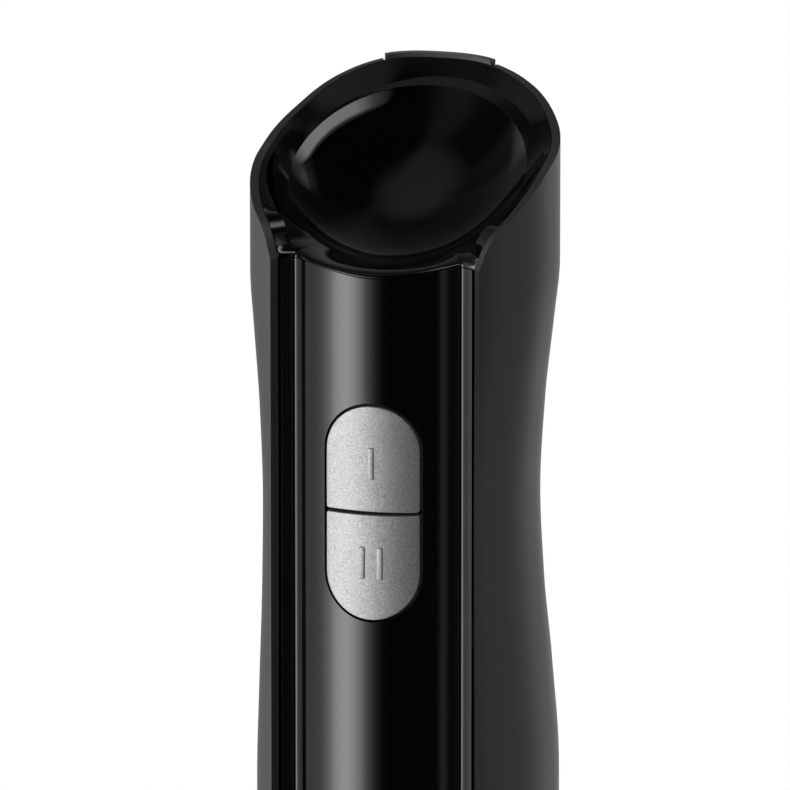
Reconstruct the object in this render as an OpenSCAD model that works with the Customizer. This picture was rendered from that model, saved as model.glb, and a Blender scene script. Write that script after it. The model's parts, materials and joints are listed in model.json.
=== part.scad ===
// Hand-held immersion blender: a sculpted handle with the motor inside, and a foot that
// pulls off downwards, with its shaft, bell and blade. Millimetres, +Z up, front faces -Y.
// The origin is on the drive axis, in the plane of the bell's rim.

/* [Overall] */
// Height from the bell's rim to the top of the handle
total_h = 392; // [390:1:396]
// Height of the lower end of the handle shell
shell_bottom = 200; // [199:0.5:201]
// Height of the joint between the collar and the foot
foot_joint = 170; // [169.5:0.5:170.5]
// Gap between pieces that move against each other
gap = 0.3; // [0.3:0.05:0.4]

/* [Handle] */
// Exponent of the rounded-square section
section_n = 2.6; // [2.4:0.1:2.8]
// Wall of the grip shell
wall = 1.8; // [1.6:0.1:2]
// Half width of the shell's opening at the front
edge_x = 23; // [22.5:0.1:23.2]
// Place of the shell's front edges
edge_y = -30.7; // [-31:0.1:-30.5]
// Depth below the top where the straight head ends
head_end = 42; // [42:1:44]
// Half width of the cover at the back of the head
cover_half = 12.4; // [11:0.1:13]
// Length of the cover at the back of the head
cover_len = 36; // [32:1:38]
// Parting line between pieces of the casing
seam = 0.15; // [0.1:0.05:0.2]

/* [Front panel] */
// Radius of the panel's curved face
panel_r = 30.3; // [30:0.1:30.5]
// Centre of that curve, behind the front
panel_yc = -3.1; // [-3.2:0.1:-3]
// Half angle of the curved face
crease_a = 37.4; // [37:0.1:38]
// Wall of the panel
panel_wall = 2.2; // [2:0.1:2.4]
// Half width of the panel at the edges of its flanges
flange_x = 21.1; // [21:0.05:21.15]
// Place of the edges of the flanges
flange_y = -29; // [-29.1:0.05:-28.9]
// Depth of the joint line at the sides of the panel
joint_side = 34.5; // [34.5:0.1:34.8]
// Depth of the joint line at the middle of the panel
joint_mid = 36.7; // [36.5:0.1:37]

/* [Speed buttons] */
// Width of the button opening
slot_w = 21.7; // [21.4:0.1:22]
// Depth of the opening's upper end
slot_top = 64.3; // [64:0.1:65]
// Depth of the opening's lower end
slot_end = 112.7; // [112:0.1:113]
// Gap between a button and the opening
button_gap = 0.55; // [0.4:0.05:0.6]
// How far a speed button travels
button_travel = 1.8; // [1.5:0.1:1.8]

/* [Cord inlet] */
// Height of the cord inlet
gland_z = 370; // [368:1:372]
// Radius of the hole in the gland
gland_bore = 3.6; // [3.4:0.1:3.8]

/* [Thumb dish] */
// Half width of the dish
dish_a = 25.9; // [25.5:0.1:26]
// Half depth of the dish, front to back
dish_b = 22.8; // [22.5:0.1:23]
// Middle of the dish, front to back
dish_yc = -2.25; // [-2.5:0.05:-2]
// Depth of the dish's rim at its middle
dish_t = 20.6; // [20.5:0.1:20.8]
// Slope of the plane of the dish's rim
dish_slope = 0.633; // [0.62:0.001:0.64]
// Depth of the bowl below the plane of its rim
dish_deep = 9.5; // [8:0.5:10]

/* [Motor] */
// Radius of the motor shaft
motor_shaft_r = 4; // [3.9:0.1:4.1]
// Radius of the armature
armature_r = 15.2; // [14.8:0.1:15.3]
// Radius of the stator
stator_r = 24.5; // [24:0.1:24.6]
// Height of the lower face of the laminations
stack_z = 226; // [226:0.5:227]
// Length of the laminations
stack_h = 30; // [29:0.5:30]

/* [Foot] */
// Radius of the bell's rim
bell_r = 34; // [33.5:0.1:34.2]
// Wall of the bell
bell_wall = 1.6; // [1.5:0.1:1.8]
// Radius of the steel shaft tube
tube_r = 16; // [15.8:0.1:16.1]
// Radius of the blade's drive shaft
drive_r = 3; // [2.9:0.1:3.1]
// Radius swept by the blade
blade_r = 22; // [20:0.5:23]
// Height of the blade above the rim
blade_z = 12; // [11.5:0.5:12.5]
// Radius of the spigot that plugs into the collar
spigot_r = 19.5; // [19.4:0.1:19.6]

/* [Release buttons] */
// Width of a release button
release_w = 18; // [16:0.5:18]
// Height of a release button
release_h = 13; // [12:0.5:13]
// Height of the middle of a release button
release_z = 184; // [184:0.5:184.5]
// How far a release button travels
release_travel = 2.3; // [2:0.1:2.3]

/* [Hidden] */
$fn = 48;
// Clearance of a shaft in its bearing
running = 0.05;
// Stations down the handle: depth below the top, half width, section centre, back
stations = [
    [0, 32.4, -3.4, 27.1], [40, 32.4, -3.4, 27.1], [52, 31.4, -4, 25.6], [70, 29.7, -5, 23.4],
    [90, 28.8, -5.6, 22.4], [110, 29.3, -4.2, 24.4], [130, 30.4, -1.8, 29], [154, 31.4, 0, 33],
    [172, 31.2, 0.3, 33.4], [192, 29.6, 0, 31]
];
// The shell's rim: place from front to back, depth below the top
rim_line = [
    [-30.7, 34.5], [-30.2, 32.8], [-29.5, 30.4], [-27.7, 27.3], [-24.6, 25], [-18.7, 21.5],
    [-9.1, 17.8], [2.3, 15.2], [13.6, 11.3], [22.4, 5.3], [25, 3], [26.4, 1.6], [27.1, 1]
];
head_t = 20;
shell_end = total_h - shell_bottom;
side_cols = 22;
cover_cols = 8;
head_rows = 6;
body_rows = 20;
front_cols = 14;
joint_gap = 0.2;

// ---- Curves and sections ----

function lerp(a, b, f) = a + (b - a) * f;
function ease(f) = f * f * (3 - 2 * f);
function secant(p, i, c) = (p[i + 1][c] - p[i][c]) / (p[i + 1][0] - p[i][0]);
// Slope of column c at row i; the harmonic mean of its neighbours keeps the curve monotone
function tangent(p, i, c) =
    i == 0 ? secant(p, 0, c)
    : i == len(p) - 1 ? secant(p, i - 1, c)
    : let (a = secant(p, i - 1, c), b = secant(p, i, c)) a * b <= 0 ? 0 : 2 * a * b / (a + b);
function row_below(p, x, i = 0) =
    i >= len(p) - 2 || x < p[i + 1][0] ? i : row_below(p, x, i + 1);
// A smooth curve through the rows of p: column c as a function of column 0
function curve(p, x, c) =
    let (i = row_below(p, x), h = p[i + 1][0] - p[i][0], f = (x - p[i][0]) / h)
    lerp(p[i][c], p[i + 1][c], ease(f))
        + h * (f * (1 - f) * (1 - f) * tangent(p, i, c) - f * f * (1 - f) * tangent(p, i + 1, c));

function front_half(a, yc) =
    (yc - edge_y) / pow(1 - pow(edge_x / a, section_n), 1 / section_n);
// Point on the grip's section at depth t; u runs from the right front edge (0), round the
// back, to the left front edge (1)
function grip_point(u, t, inset) =
    let (
        a = curve(stations, t, 1), yc = curve(stations, t, 2), yb = curve(stations, t, 3),
        start = atan2(edge_y - yc, edge_x), th = start + u * (180 - 2 * start),
        b = sin(th) < 0 ? front_half(a, yc) : yb - yc,
        r = pow(
            pow(abs(cos(th)) / (a - inset), section_n) + pow(abs(sin(th)) / (b - inset), section_n),
            -1 / section_n
        )
    )
    [r * cos(th), yc + r * sin(th)];
// u at which the head's section reaches half width x on the right of the back
function back_u(x, lo = 0.3, hi = 0.5, n = 24) =
    n == 0 ? lo
    : let (mid = (lo + hi) / 2)
    grip_point(mid, head_t, 0)[0] > x ? back_u(x, mid, hi, n - 1) : back_u(x, lo, mid, n - 1);
function rim_t(u) = curve(rim_line, grip_point(u, head_t, 0)[1], 1);
function up(p, t) = [p[0], p[1], total_h - t];

// Columns of the casing from front right to the cover's edge, crowded towards the front
function side_u(x, n) = [for (i = [0:n]) back_u(x) * pow(i / n, 1.6)];
function mirrored(us) = [for (i = [len(us) - 1:-1:0]) 1 - us[i]];

// Joint line of the cap and the panel: depth at half width x
function joint_t(x) =
    let (w = panel_r * sin(crease_a))
    abs(x) >= w ? joint_side : lerp(joint_mid, joint_side, ease(abs(x) / w));
function arc_point(a, r) = [r * sin(a), panel_yc - r * cos(a)];
// The open front between the shell's two edges, from left to right
function front_points(r) =
    [for (i = [0:front_cols]) arc_point(lerp(-crease_a, crease_a, i / front_cols), r)];

// ---- Solids from a grid of points ----

// A wall between two grids of points with the same rows and columns
module wall_between(outer, inner) {
    rows = len(outer);
    cols = len(outer[0]);
    n = rows * cols;
    skin = [
        for (j = [0:rows - 2]) for (i = [0:cols - 2])
            let (a = j * cols + i) [a, a + 1, a + cols + 1, a + cols]
    ];
    lining = [for (f = skin) [n + f[0], n + f[3], n + f[2], n + f[1]]];
    ends = [
        for (i = [0:cols - 2])
            each [[i, n + i, n + i + 1, i + 1], let (a = n - cols + i) [a, a + 1, n + a + 1, n + a]]
    ];
    sides = [
        for (j = [0:rows - 2])
            each [
                let (a = j * cols) [a, a + cols, n + a + cols, n + a],
                let (a = j * cols + cols - 1) [a, n + a, n + a + cols, a + cols]
            ]
    ];
    polyhedron([for (r = [outer, inner]) for (row = r) each row],
        [for (f = concat(skin, lining, ends, sides)) each [[f[0], f[1], f[2]], [f[0], f[2], f[3]]]]);
}

// A wall between two grids whose last column joins the first
module ring_between(outer, inner) {
    rows = len(outer);
    cols = len(outer[0]);
    n = rows * cols;
    quads = [
        for (j = [0:rows - 2]) for (i = [0:cols - 1])
            let (a = j * cols, b = (i + 1) % cols) [a + i, a + b, a + cols + b, a + cols + i]
    ];
    lining = [for (f = quads) [n + f[0], n + f[3], n + f[2], n + f[1]]];
    last = n - cols;
    ends = [
        for (i = [0:cols - 1])
            let (b = (i + 1) % cols)
                each [[i, n + i, n + b, b], [last + i, last + b, n + last + b, n + last + i]]
    ];
    polyhedron([for (r = [outer, inner]) for (row = r) each row],
        [for (f = concat(quads, lining, ends)) each [[f[0], f[1], f[2]], [f[0], f[2], f[3]]]]);
}

// ---- Casing of the handle ----

// Rows of the grip between depths top(u) and end, at an inset from its outer face
function grip_rows(us, top, end, inset) = [
    for (j = [0:head_rows + body_rows])
        [
            for (i = [0:len(us) - 1])
                let (
                    t = j <= head_rows
                        ? lerp(top[i], head_end, j / head_rows)
                        : lerp(head_end, end, (j - head_rows) / body_rows)
                )
                    up(grip_point(us[i], t, inset), t)
        ]
];

module grip_shell() {
    side = side_u(cover_half + 0.5, side_cols);
    corner = back_u(cover_half + seam);
    middle = [for (i = [0:cover_cols]) lerp(corner, 1 - corner, i / cover_cols)];
    us = concat(side, middle, mirrored(side));
    top = concat(
        [for (u = side) rim_t(u)], [for (u = middle) cover_len + seam], [for (u = side) 0]
    );
    rim = [for (i = [0:len(us) - 1]) i > side_cols + cover_cols + 1 ? rim_t(us[i]) : top[i]];
    color("#2b2b2d")
        wall_between(grip_rows(us, rim, shell_end, 0), grip_rows(us, rim, shell_end, wall));
}

function cover_rows(us, inset) = [
    for (j = [0:5])
        [for (u = us) let (t = lerp(rim_t(u) - 1, cover_len, j / 5)) up(grip_point(u, t, inset), t)]
];

module rear_cover() {
    edge = back_u(cover_half);
    us = [for (i = [0:cover_cols]) lerp(edge, 1 - edge, i / cover_cols)];
    // Its upper edge follows the rim, one millimetre higher
    outer = cover_rows(us, 0);
    inner = cover_rows(us, wall);
    color("#1c1c1e") difference() {
        wall_between(outer, inner);
        translate([0, 40, gland_z]) rotate([90, 0, 0]) cylinder(r = 5.2, h = 30);
    }
}

// Rubber gland with the hole that a supply cord passes through
module cord_gland() {
    color("#1a1a1a") translate([0, 18, gland_z]) rotate([-90, 0, 0]) rotate_extrude()
        polygon([
            [gland_bore, 0], [7.2, 0], [7.2, 5.6], [5.1, 5.6], [5.1, 9.4], [7, 9.4], [7, 11.5],
            [5.6, 15.5], [gland_bore, 15.5]
        ]);
}

// Dish of the cap: depth at a point of its ellipse, f from the middle (0) to the rim (1)
function dish_point(a, f) =
    let (x = dish_a * f * cos(a), y = dish_yc + dish_b * f * sin(a))
    [x, y, total_h - dish_t + dish_slope * (y - dish_yc) - dish_deep * (1 - pow(f, 2.6))];

// Outline of the cap: the shell's rim from right to left, then the joint line back
function cap_outline() =
    let (
        n = 34, start = [for (i = [0:n]) i / n], inset = wall + seam,
        us = [for (f = start) lerp(f, ease(f), 0.35)],
        rim = [for (u = us) up(grip_point(u, head_t, inset), rim_t(u))],
        front = [for (p = front_points(panel_r)) up(p, joint_t(p[0]))]
    )
    concat(rim, front);

module top_cap() {
    outline = cap_outline();
    angles = [for (p = outline) atan2((p[1] - dish_yc) / dish_b, p[0] / dish_a)];
    n = len(outline);
    steps = [0, 0.12, 0.45, 0.8, 1];
    drops = [0, 0.04, 0.4, 0.8, 1];
    slopes = [
        for (j = [0:len(steps) - 1])
            [
                for (i = [0:n - 1])
                    let (p = outline[i], q = dish_point(angles[i], 1))
                        [
                            lerp(p[0], q[0], steps[j]), lerp(p[1], q[1], steps[j]),
                            lerp(p[2], q[2], drops[j])
                        ]
            ]
    ];
    bowl = [
        for (f = [0.97, 0.9, 0.78, 0.6, 0.4, 0.2, 0.02]) [for (a = angles) dish_point(a, f)]
    ];
    top = concat(slopes, bowl);
    thick = 2.2;
    // Towards the joint with the panel the underside draws in and starts level with the joint
    lower = [0, 0.5];
    under = [
        for (j = [0:len(top) - 1])
            [
                for (p = top[j])
                    let (
                        w = ease(min(1, max(0, (-20 - p[1]) / 6))),
                        s = lerp(0.985, j < 2 ? 0.9 : 0.93, w),
                        drop = thick * lerp(1, j < 2 ? lower[j] : 1, w)
                    )
                        [p[0] * s, p[1] * s, p[2] - drop]
            ]
    ];
    last = len(top) - 1;
    rows = concat(top, [for (j = [last:-1:0]) under[j]]);
    closed_loops(rows);
}

// A solid skinned over closed loops of points, the last of which joins the first
module closed_loops(rows) {
    cols = len(rows[0]);
    count = len(rows);
    half = count / 2;
    quads = [
        for (j = [0:count - 1]) if (j != half - 1)
            for (i = [0:cols - 1])
                let (a = j * cols, c = ((j + 1) % count) * cols, b = (i + 1) % cols)
                    [a + i, a + b, c + b, c + i]
    ];
    tip = (half - 1) * cols;
    base = half * cols;
    caps = [
        for (i = [1:cols - 2]) each [[tip, tip + i, tip + i + 1], [base, base + i + 1, base + i]]
    ];
    color("#0d0d0f")
        polyhedron([for (r = rows) each r],
            concat([for (f = quads) each [[f[0], f[1], f[2]], [f[0], f[2], f[3]]]], caps));
}

// The panel before its openings are cut: the curved face, and a flange at each side that
// rises to the shell
module panel_blank(h) {
    crease = arc_point(crease_a, panel_r);
    linear_extrude(h) difference() {
        translate([0, panel_yc]) circle(r = panel_r, $fn = 120);
        translate([0, panel_yc]) circle(r = panel_r - panel_wall, $fn = 120);
        translate([-40, crease[1]]) square([80, 80]);
    }
    for (s = [0, 1]) mirror([s, 0, 0]) linear_extrude(h)
        polygon([
            crease, [flange_x, flange_y], [flange_x - 0.2, flange_y + panel_wall],
            [crease[0] - 0.5, crease[1] + panel_wall], [crease[0] - 4.3, crease[1] + 1.6],
            [crease[0] - 3.2, crease[1] - 0.4]
        ]);
}

// The stadium that the two speed buttons share, as a solid along Y
module button_stadium(clear, front, back, wider = 0) {
    r = slot_w / 2 - clear + wider;
    high = total_h - slot_top - slot_w / 2;
    low = total_h - slot_end + slot_w / 2;
    for (z = [low, high]) translate([0, front, z]) rotate([-90, 0, 0]) cylinder(r = r, h = back - front);
    translate([-r, front, low]) cube([2 * r, back - front, high - low]);
}

module front_panel() {
    top = total_h - joint_mid - joint_gap;
    color("#0b0b0c") difference() {
        translate([0, 0, shell_bottom]) panel_blank(top + 2 - shell_bottom);
        button_stadium(0, -36, -20);
        // The top follows the joint line: level at the sides and lower at the middle
        for (s = [0, 1]) mirror([s, 0, 0])
            translate([16, -40, total_h - joint_side - joint_gap]) cube([10, 30, 10]);
        translate([0, -10, top + 90]) rotate([90, 0, 0]) cylinder(r = 90, h = 30, $fn = 180);
    }
}

// ---- Collar between the handle and the foot ----

collar_low = foot_joint + 0.1;
collar_r = 29;

function collar_top() =
    concat(
        [for (i = [0:40]) let (p = grip_point(i / 40, shell_end, 0)) [p[0], p[1]]],
        front_points(panel_r)
    );
function collar_grid(inset) = [
    for (j = [0:8])
        let (f = j / 8, w = ease(f))
            [
                for (p = collar_top())
                    let (
                        round = collar_r / norm(p), q = p * lerp(1, round, w),
                        s = (norm(q) - inset) / norm(q)
                    )
                        [q[0] * s, q[1] * s, lerp(shell_bottom - seam, collar_low, f)]
            ]
];

// Rounded block that points along X, from x0 to x1
module side_pad(x0, x1, width, height, z, r = 3) {
    for (y = [-1, 1]) for (k = [-1, 1])
        translate([x0, y * (width / 2 - r), z + k * (height / 2 - r)])
            rotate([0, 90, 0]) cylinder(r = r, h = x1 - x0);
    translate([x0, -width / 2, z - height / 2 + r]) cube([x1 - x0, width, height - 2 * r]);
    translate([x0, -width / 2 + r, z - height / 2]) cube([x1 - x0, width - 2 * r, height]);
}

module collar_ring() {
    w = release_w + 2 * gap;
    h = release_h + 2 * gap;
    color("#111113") difference() {
        ring_between(collar_grid(0), collar_grid(2.2));
        translate([-35, -w / 2, release_z - h / 2]) cube([70, w, h]);
    }
}

// Bright ring round the top of the foot
module collar_trim() {
    color("#b9babb") translate([0, 0, foot_joint - 3.4]) rotate_extrude()
        polygon([
            [26.4, 0], [28.9, 0], [29.1, 0.3], [29.1, 2.8], [28.9, 3.1], [26.4, 3.1]
        ]);
}

socket_in = spigot_r + 0.4;
groove_z = release_z;

// Socket that the foot's spigot plugs into, with windows for the release tongues
module socket_ring() {
    top = shell_bottom - 3;
    color("#3a3a3c") difference() {
        rotate_extrude() polygon([
            [socket_in, foot_joint + 1], [26, foot_joint + 1], [26, foot_joint + 3],
            [socket_out, foot_joint + 3], [socket_out, top], [socket_in, top],
            [socket_in, groove_z + 1.2], [socket_in + 0.8, groove_z + 1.2],
            [socket_in + 0.8, groove_z - 1.2], [socket_in, groove_z - 1.2]
        ]);
        translate([-40, -4, groove_z - 3]) cube([80, 8, 6]);
    }
}

// Open spring ring that holds the foot by the groove in its spigot
module latch_ring() {
    color("#9a9c9e") translate([0, 0, groove_z - 0.6]) rotate([0, 0, 15])
        rotate_extrude(angle = 330) translate([spigot_r - 0.35, 0]) square([1.2, 1.2]);
}

socket_out = socket_in + 1.5;
tongue_x = spigot_r + release_travel + 0.6;

// Release button: a curved-faced pad, a flange behind the collar's wall and a tongue
module release_button(s) {
    flange = socket_out + release_travel + 1.1;
    color("#2e2e30") mirror([s < 0 ? 1 : 0, 0, 0]) {
        intersection() {
            side_pad(flange + 0.5, 32, release_w, release_h, release_z);
            translate([0, 0, release_z - 10]) cylinder(r = 30.6, h = 20, $fn = 120);
        }
        translate([flange, -release_w / 3, release_z - release_h / 2 - 1])
            cube([0.9, release_w / 1.5, release_h + 2]);
        translate([tongue_x, -2.4, release_z - 2.4]) cube([flange - tongue_x + 0.5, 4.8, 4.8]);
    }
}

module release_spring(s) {
    color("#8f9193") mirror([s < 0 ? 1 : 0, 0, 0])
        translate([socket_out + 0.3, 0, release_z]) rotate([0, 90, 0])
            coil_spring(3.6, 4.4, release_travel + 0.7);
}

// A close-wound spring, as the tube that it fills, along +Z
module coil_spring(inner, outer, length) {
    rotate_extrude() translate([inner, 0]) square([outer - inner, length]);
}

// ---- Buttons and electrics ----

split_z = total_h - (slot_top + slot_end) / 2;
one_z = (total_h - slot_top + split_z) / 2;
two_z = (total_h - slot_end + split_z) / 2;
// Middle of a button's marks, away from the gap between the two buttons
mark_reach = 11;
button_face = panel_r + 0.3;
flange_face = panel_r - panel_wall - gap;
board_y = -19;
switch_front = -24;

// A curved slice of the panel's cylinder between two radii
module panel_slice(outer, inner) {
    translate([0, panel_yc, 0]) difference() {
        cylinder(r = outer, h = total_h, $fn = 120);
        translate([0, 0, -1]) cylinder(r = inner, h = total_h + 2, $fn = 120);
    }
}

module half_space(upper, split_gap) {
    low = upper ? split_z + split_gap : split_z - 40;
    translate([-20, -40, low]) cube([40, 30, 40 - split_gap]);
}

// One raised bar of a speed mark
module mark_bar(x, z) {
    translate([x - 0.7, -40, z - 3.6]) cube([1.4, 20, 7.2]);
}

module speed_button(upper, marks) {
    z = upper ? one_z : two_z;
    color("#c9cacb") {
        intersection() {
            panel_slice(button_face, flange_face - 0.2);
            button_stadium(button_gap, -36, -20);
            half_space(upper, 0.35);
        }
        intersection() {
            panel_slice(flange_face, flange_face - 1.4);
            button_stadium(button_gap, -36, -20, 1.5);
            half_space(upper, 0.35);
        }
        intersection() {
            panel_slice(button_face + 0.25, button_face - 0.4);
            union() for (x = marks) mark_bar(x, split_z + (upper ? mark_reach : -mark_reach));
        }
        translate([0, -29.6, z]) rotate([-90, 0, 0]) cylinder(r = 2.4, h = 3);
    }
}

module button_spring(z) {
    color("#8f9193") translate([0, -28.6, z]) rotate([-90, 0, 0])
        coil_spring(2.9, 3.6, 28.6 + switch_front - 0.1);
}

// Small plunger that the button's stem presses into the switch
module switch_plunger(z) {
    color("#e8e6df") translate([-1.4, -26.5, z - 1.4]) cube([2.8, 2.9, 2.8]);
}

module switch_body(z) {
    color("#26282c") difference() {
        translate([-5, switch_front, z - 6]) cube([10, board_y - switch_front, 12]);
        translate([-1.7, switch_front - 1, z - 1.7]) cube([3.4, button_travel + 1.7, 3.4]);
    }
}

module control_board() {
    color("#1f5a3a") {
        translate([-14, board_y, 288.5]) cube([28, 1.6, 49.5]);
        for (z = [292, 308, 326]) translate([-11.5, board_y + 1.6, z]) cube([6, 3, 4]);
        translate([5, board_y + 1.6, 298]) cube([7, 4.6, 10]);
    }
}

// Frame that ties the motor, the board and the head together
module inner_chassis() {
    color("#4a4b4e") {
        for (s = [-1, 1]) translate([s * 16 - 1, -20, 291]) cube([2, 34, 58]);
        for (y = [-12, 12]) translate([-16, y, 291]) cube([32, 2, 58]);
        difference() {
            translate([-16, -11, 347]) cube([32, 24, 2]);
            for (s = [-1, 1]) translate([s * 12, 0, 346]) cylinder(r = 1.5, h = 4);
        }
    }
}

module noise_filter() {
    color("#c8a02a") translate([-12, -3, 300]) cube([24, 11, 17]);
    color("#b87333") translate([0, 2, 322]) rotate_extrude() translate([4, 0]) square([5, 8]);
}

module terminal_block() {
    color("#e4e2da") difference() {
        translate([-9, 1, 337]) cube([18, 9, 9]);
        for (x = [-4.5, 4.5]) translate([x, 5.5, 340]) cylinder(r = 1.6, h = 8);
    }
}

// Saddle that holds a supply cord, with its floor on the chassis
module cord_clamp() {
    color("#3a3a3c") difference() {
        translate([-8, 4, 349]) cube([16, 8, 9]);
        translate([0, 2, 354.5]) rotate([-90, 0, 0]) cylinder(r = 3.4, h = 12);
    }
}

// ---- Motor ----

bearing_low = 201;
bearing_high = 279;
comm_z = 266;
screw_r = 21.5;
screw_angles = [45, 135, 225, 315];

// Rubber ring that holds the motor in the handle
module motor_ring() {
    color("#1a1a1a") translate([0, 0, bearing_low - 3.6]) rotate_extrude()
        translate([16, 0]) square([8, 3.5]);
}

module stator_core() {
    color("#7d7f82") translate([0, 0, stack_z]) linear_extrude(stack_h) difference() {
        circle(r = stator_r, $fn = 96);
        circle(r = armature_r + 0.5, $fn = 96);
        for (s = [-1, 1]) translate([s * 19 - 2, -6]) square([4, 12]);
        for (a = screw_angles) rotate(a) translate([screw_r, 0]) circle(r = 1.6);
    }
}

module field_coils() {
    color("#b87333") for (s = [0, 1]) mirror([0, s, 0]) {
        for (z = [stack_z - 5, stack_z + stack_h]) translate([0, 0, z]) rotate([0, 0, 25])
            rotate_extrude(angle = 130) translate([16.4, 0]) square([3, 5]);
    }
}

// Bearing bracket: a spider with a cup for the bearing, and a hole in each arm for a screw
module bracket(z, thick, cup_z, cup_h) {
    color("#8a8c8f") difference() {
        union() {
            translate([0, 0, z]) linear_extrude(thick) intersection() {
                circle(r = stator_r, $fn = 96);
                union() {
                    for (a = [45, 135]) rotate(a) translate([-40, -5]) square([80, 10]);
                    circle(r = 12);
                }
            }
            translate([0, 0, cup_z]) cylinder(r = 13, h = cup_h);
        }
        translate([0, 0, cup_z - 1]) cylinder(r = 11, h = cup_h + 2);
        for (a = screw_angles) rotate(a) translate([screw_r, 0, z - 1]) cylinder(r = 1.6, h = thick + 2);
    }
}

module lower_bracket() { bracket(bearing_low + 1, 4, bearing_low, 7); }
module upper_bracket() { bracket(bearing_high + 3, 4, bearing_high, 7); }

module ball_bearing(z) {
    color("#c2c4c6") translate([0, 0, z]) rotate_extrude()
        translate([motor_shaft_r + running, 0]) square([11 - motor_shaft_r - running, 7]);
}

module motor_screws() {
    color("#9a9c9e") for (a = screw_angles) rotate(a) translate([screw_r, 0, 0]) {
        translate([0, 0, bearing_low + 1]) cylinder(r = 1.5, h = bearing_high + 6 - bearing_low);
        translate([0, 0, bearing_high + 7]) cylinder(r = 2.4, h = 2);
    }
}

// Brass boxes that guide the carbons
module brush_holders() {
    color("#b5973f") for (s = [-1, 1]) mirror([s < 0 ? 1 : 0, 0, 0]) difference() {
        translate([11.5, -4, comm_z + 1]) cube([12, 8, 8]);
        translate([11, -2.6, comm_z + 2.4]) cube([14, 5.2, 5.2]);
    }
}

module carbon_brushes() {
    color("#2a2a2c") for (s = [-1, 1]) mirror([s < 0 ? 1 : 0, 0, 0])
        translate([9.8, -2.5, comm_z + 2.5]) cube([8, 5, 5]);
}

module brush_springs() {
    color("#9a9c9e") for (s = [-1, 1]) mirror([s < 0 ? 1 : 0, 0, 0])
        translate([17.9, 0, comm_z + 5]) rotate([0, 90, 0]) coil_spring(1.5, 2.2, 5.5);
}

module motor_shaft() {
    color("#b8babc") translate([0, 0, 191]) cylinder(r = motor_shaft_r, h = bearing_high + 8 - 191);
}

module armature_core() {
    color("#6f7174") translate([0, 0, stack_z]) linear_extrude(stack_h) difference() {
        circle(r = armature_r, $fn = 96);
        circle(r = motor_shaft_r);
        for (i = [0:11]) rotate(i * 30) translate([armature_r - 5, -1]) square([6, 2]);
    }
}

module armature_windings() {
    color("#b0602a") for (z = [stack_z - 6, stack_z + stack_h]) translate([0, 0, z])
        rotate_extrude() translate([motor_shaft_r + 1, 0]) square([9, 6]);
}

module commutator() {
    color("#b87333") translate([0, 0, comm_z]) linear_extrude(10) difference() {
        circle(r = 9.5);
        circle(r = motor_shaft_r);
        for (i = [0:23]) rotate(i * 15) translate([8.6, -0.2]) square([2, 0.4]);
    }
}

// Fan that draws air down past the windings
module cooling_fan() {
    color("#d8d4c4") translate([0, 0, 209.5]) {
        difference() {
            cylinder(r = 19, h = 1.6);
            translate([0, 0, -1]) cylinder(r = motor_shaft_r, h = 4);
        }
        difference() {
            cylinder(r = 7, h = 7);
            translate([0, 0, -1]) cylinder(r = motor_shaft_r, h = 9);
        }
        for (i = [0:8]) rotate(i * 40) translate([8, 0, 1.5]) rotate(25) cube([10, 1.2, 5.5]);
    }
}

// A jaw of the coupling: a piece of a ring, centred on the angle a
module jaw(a, width, z, h) {
    translate([0, 0, z]) rotate([0, 0, a - width / 2]) rotate_extrude(angle = width)
        translate([4.6, 0]) square([4, h]);
}

dog_face = 181;

module drive_dog() {
    color("#d8d4c4") {
        translate([0, 0, dog_face + 9]) difference() {
            cylinder(r = 9, h = 7);
            translate([0, 0, 1]) cylinder(r = motor_shaft_r, h = 7);
        }
        for (a = [0, 180]) jaw(a, 55, dog_face + 1, 8.5);
    }
}

module driven_dog() {
    color("#1d1d1f") {
        translate([0, 0, dog_face - 6]) difference() {
            cylinder(r = 9, h = 6.4);
            translate([0, 0, -1]) cylinder(r = drive_r, h = 6);
        }
        for (a = [90, 270]) jaw(a, 70, dog_face, 8.6);
    }
}

module casing_screws() {
    color("#8f9193") {
        for (s = [-1, 1]) translate([s * 12, 0, 0]) {
            translate([0, 0, 349]) cylinder(r = 2.7, h = 1.8);
            translate([0, 0, 342]) cylinder(r = 1.2, h = 7.1);
        }
        for (a = screw_angles) rotate(a) translate([24, 0, foot_joint + 3]) cylinder(r = 1.9, h = 1.6);
    }
}

// ---- Foot ----

// Outer face of the hub: height, radius
hub_line = [
    [112, 17.6], [120, 18], [130, 19.6], [140, 23], [150, 26.6], [158, 28.3], [166.5, 28.9]
];
// Outer face of the bell: height, radius
bell_line = [
    [0, bell_r], [11, bell_r], [19, 32.6], [27, 28.6], [34, 23.4], [41, 19.4], [48, 17.8], [58, 17.2]
];
function side(p, n, off) = [
    for (i = [0:n])
        let (z = lerp(p[0][0], p[len(p) - 1][0], i / n)) [curve(p, z, 1) + off, z]
];
function flipped(p) = [for (i = [len(p) - 1:-1:0]) p[i]];

module foot_hub() {
    inner = [for (p = side(hub_line, 16, -2.4)) [max(p[0], tube_r + 0.02), p[1]]];
    color("#101012") rotate_extrude() polygon(concat(side(hub_line, 16, 0), flipped(inner)));
}

module foot_spigot() {
    color("#232325") rotate_extrude() polygon([
        [6, 159], [25.8, 159], [25.8, 163], [spigot_r, 163],
        [spigot_r, groove_z - 1], [spigot_r - 0.9, groove_z - 1],
        [spigot_r - 0.9, groove_z + 1], [spigot_r, groove_z + 1],
        [spigot_r, 188], [spigot_r - 0.8, 189.5], [17.4, 189.5], [17.4, 165], [6, 165]
    ]);
}

// Rubber ring that keeps liquid out of the collar
module spigot_seal() {
    color("#5a5a5c") rotate_extrude()
        translate([spigot_r + 0.01, 163]) square([2.4, 2.6]);
}

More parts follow.
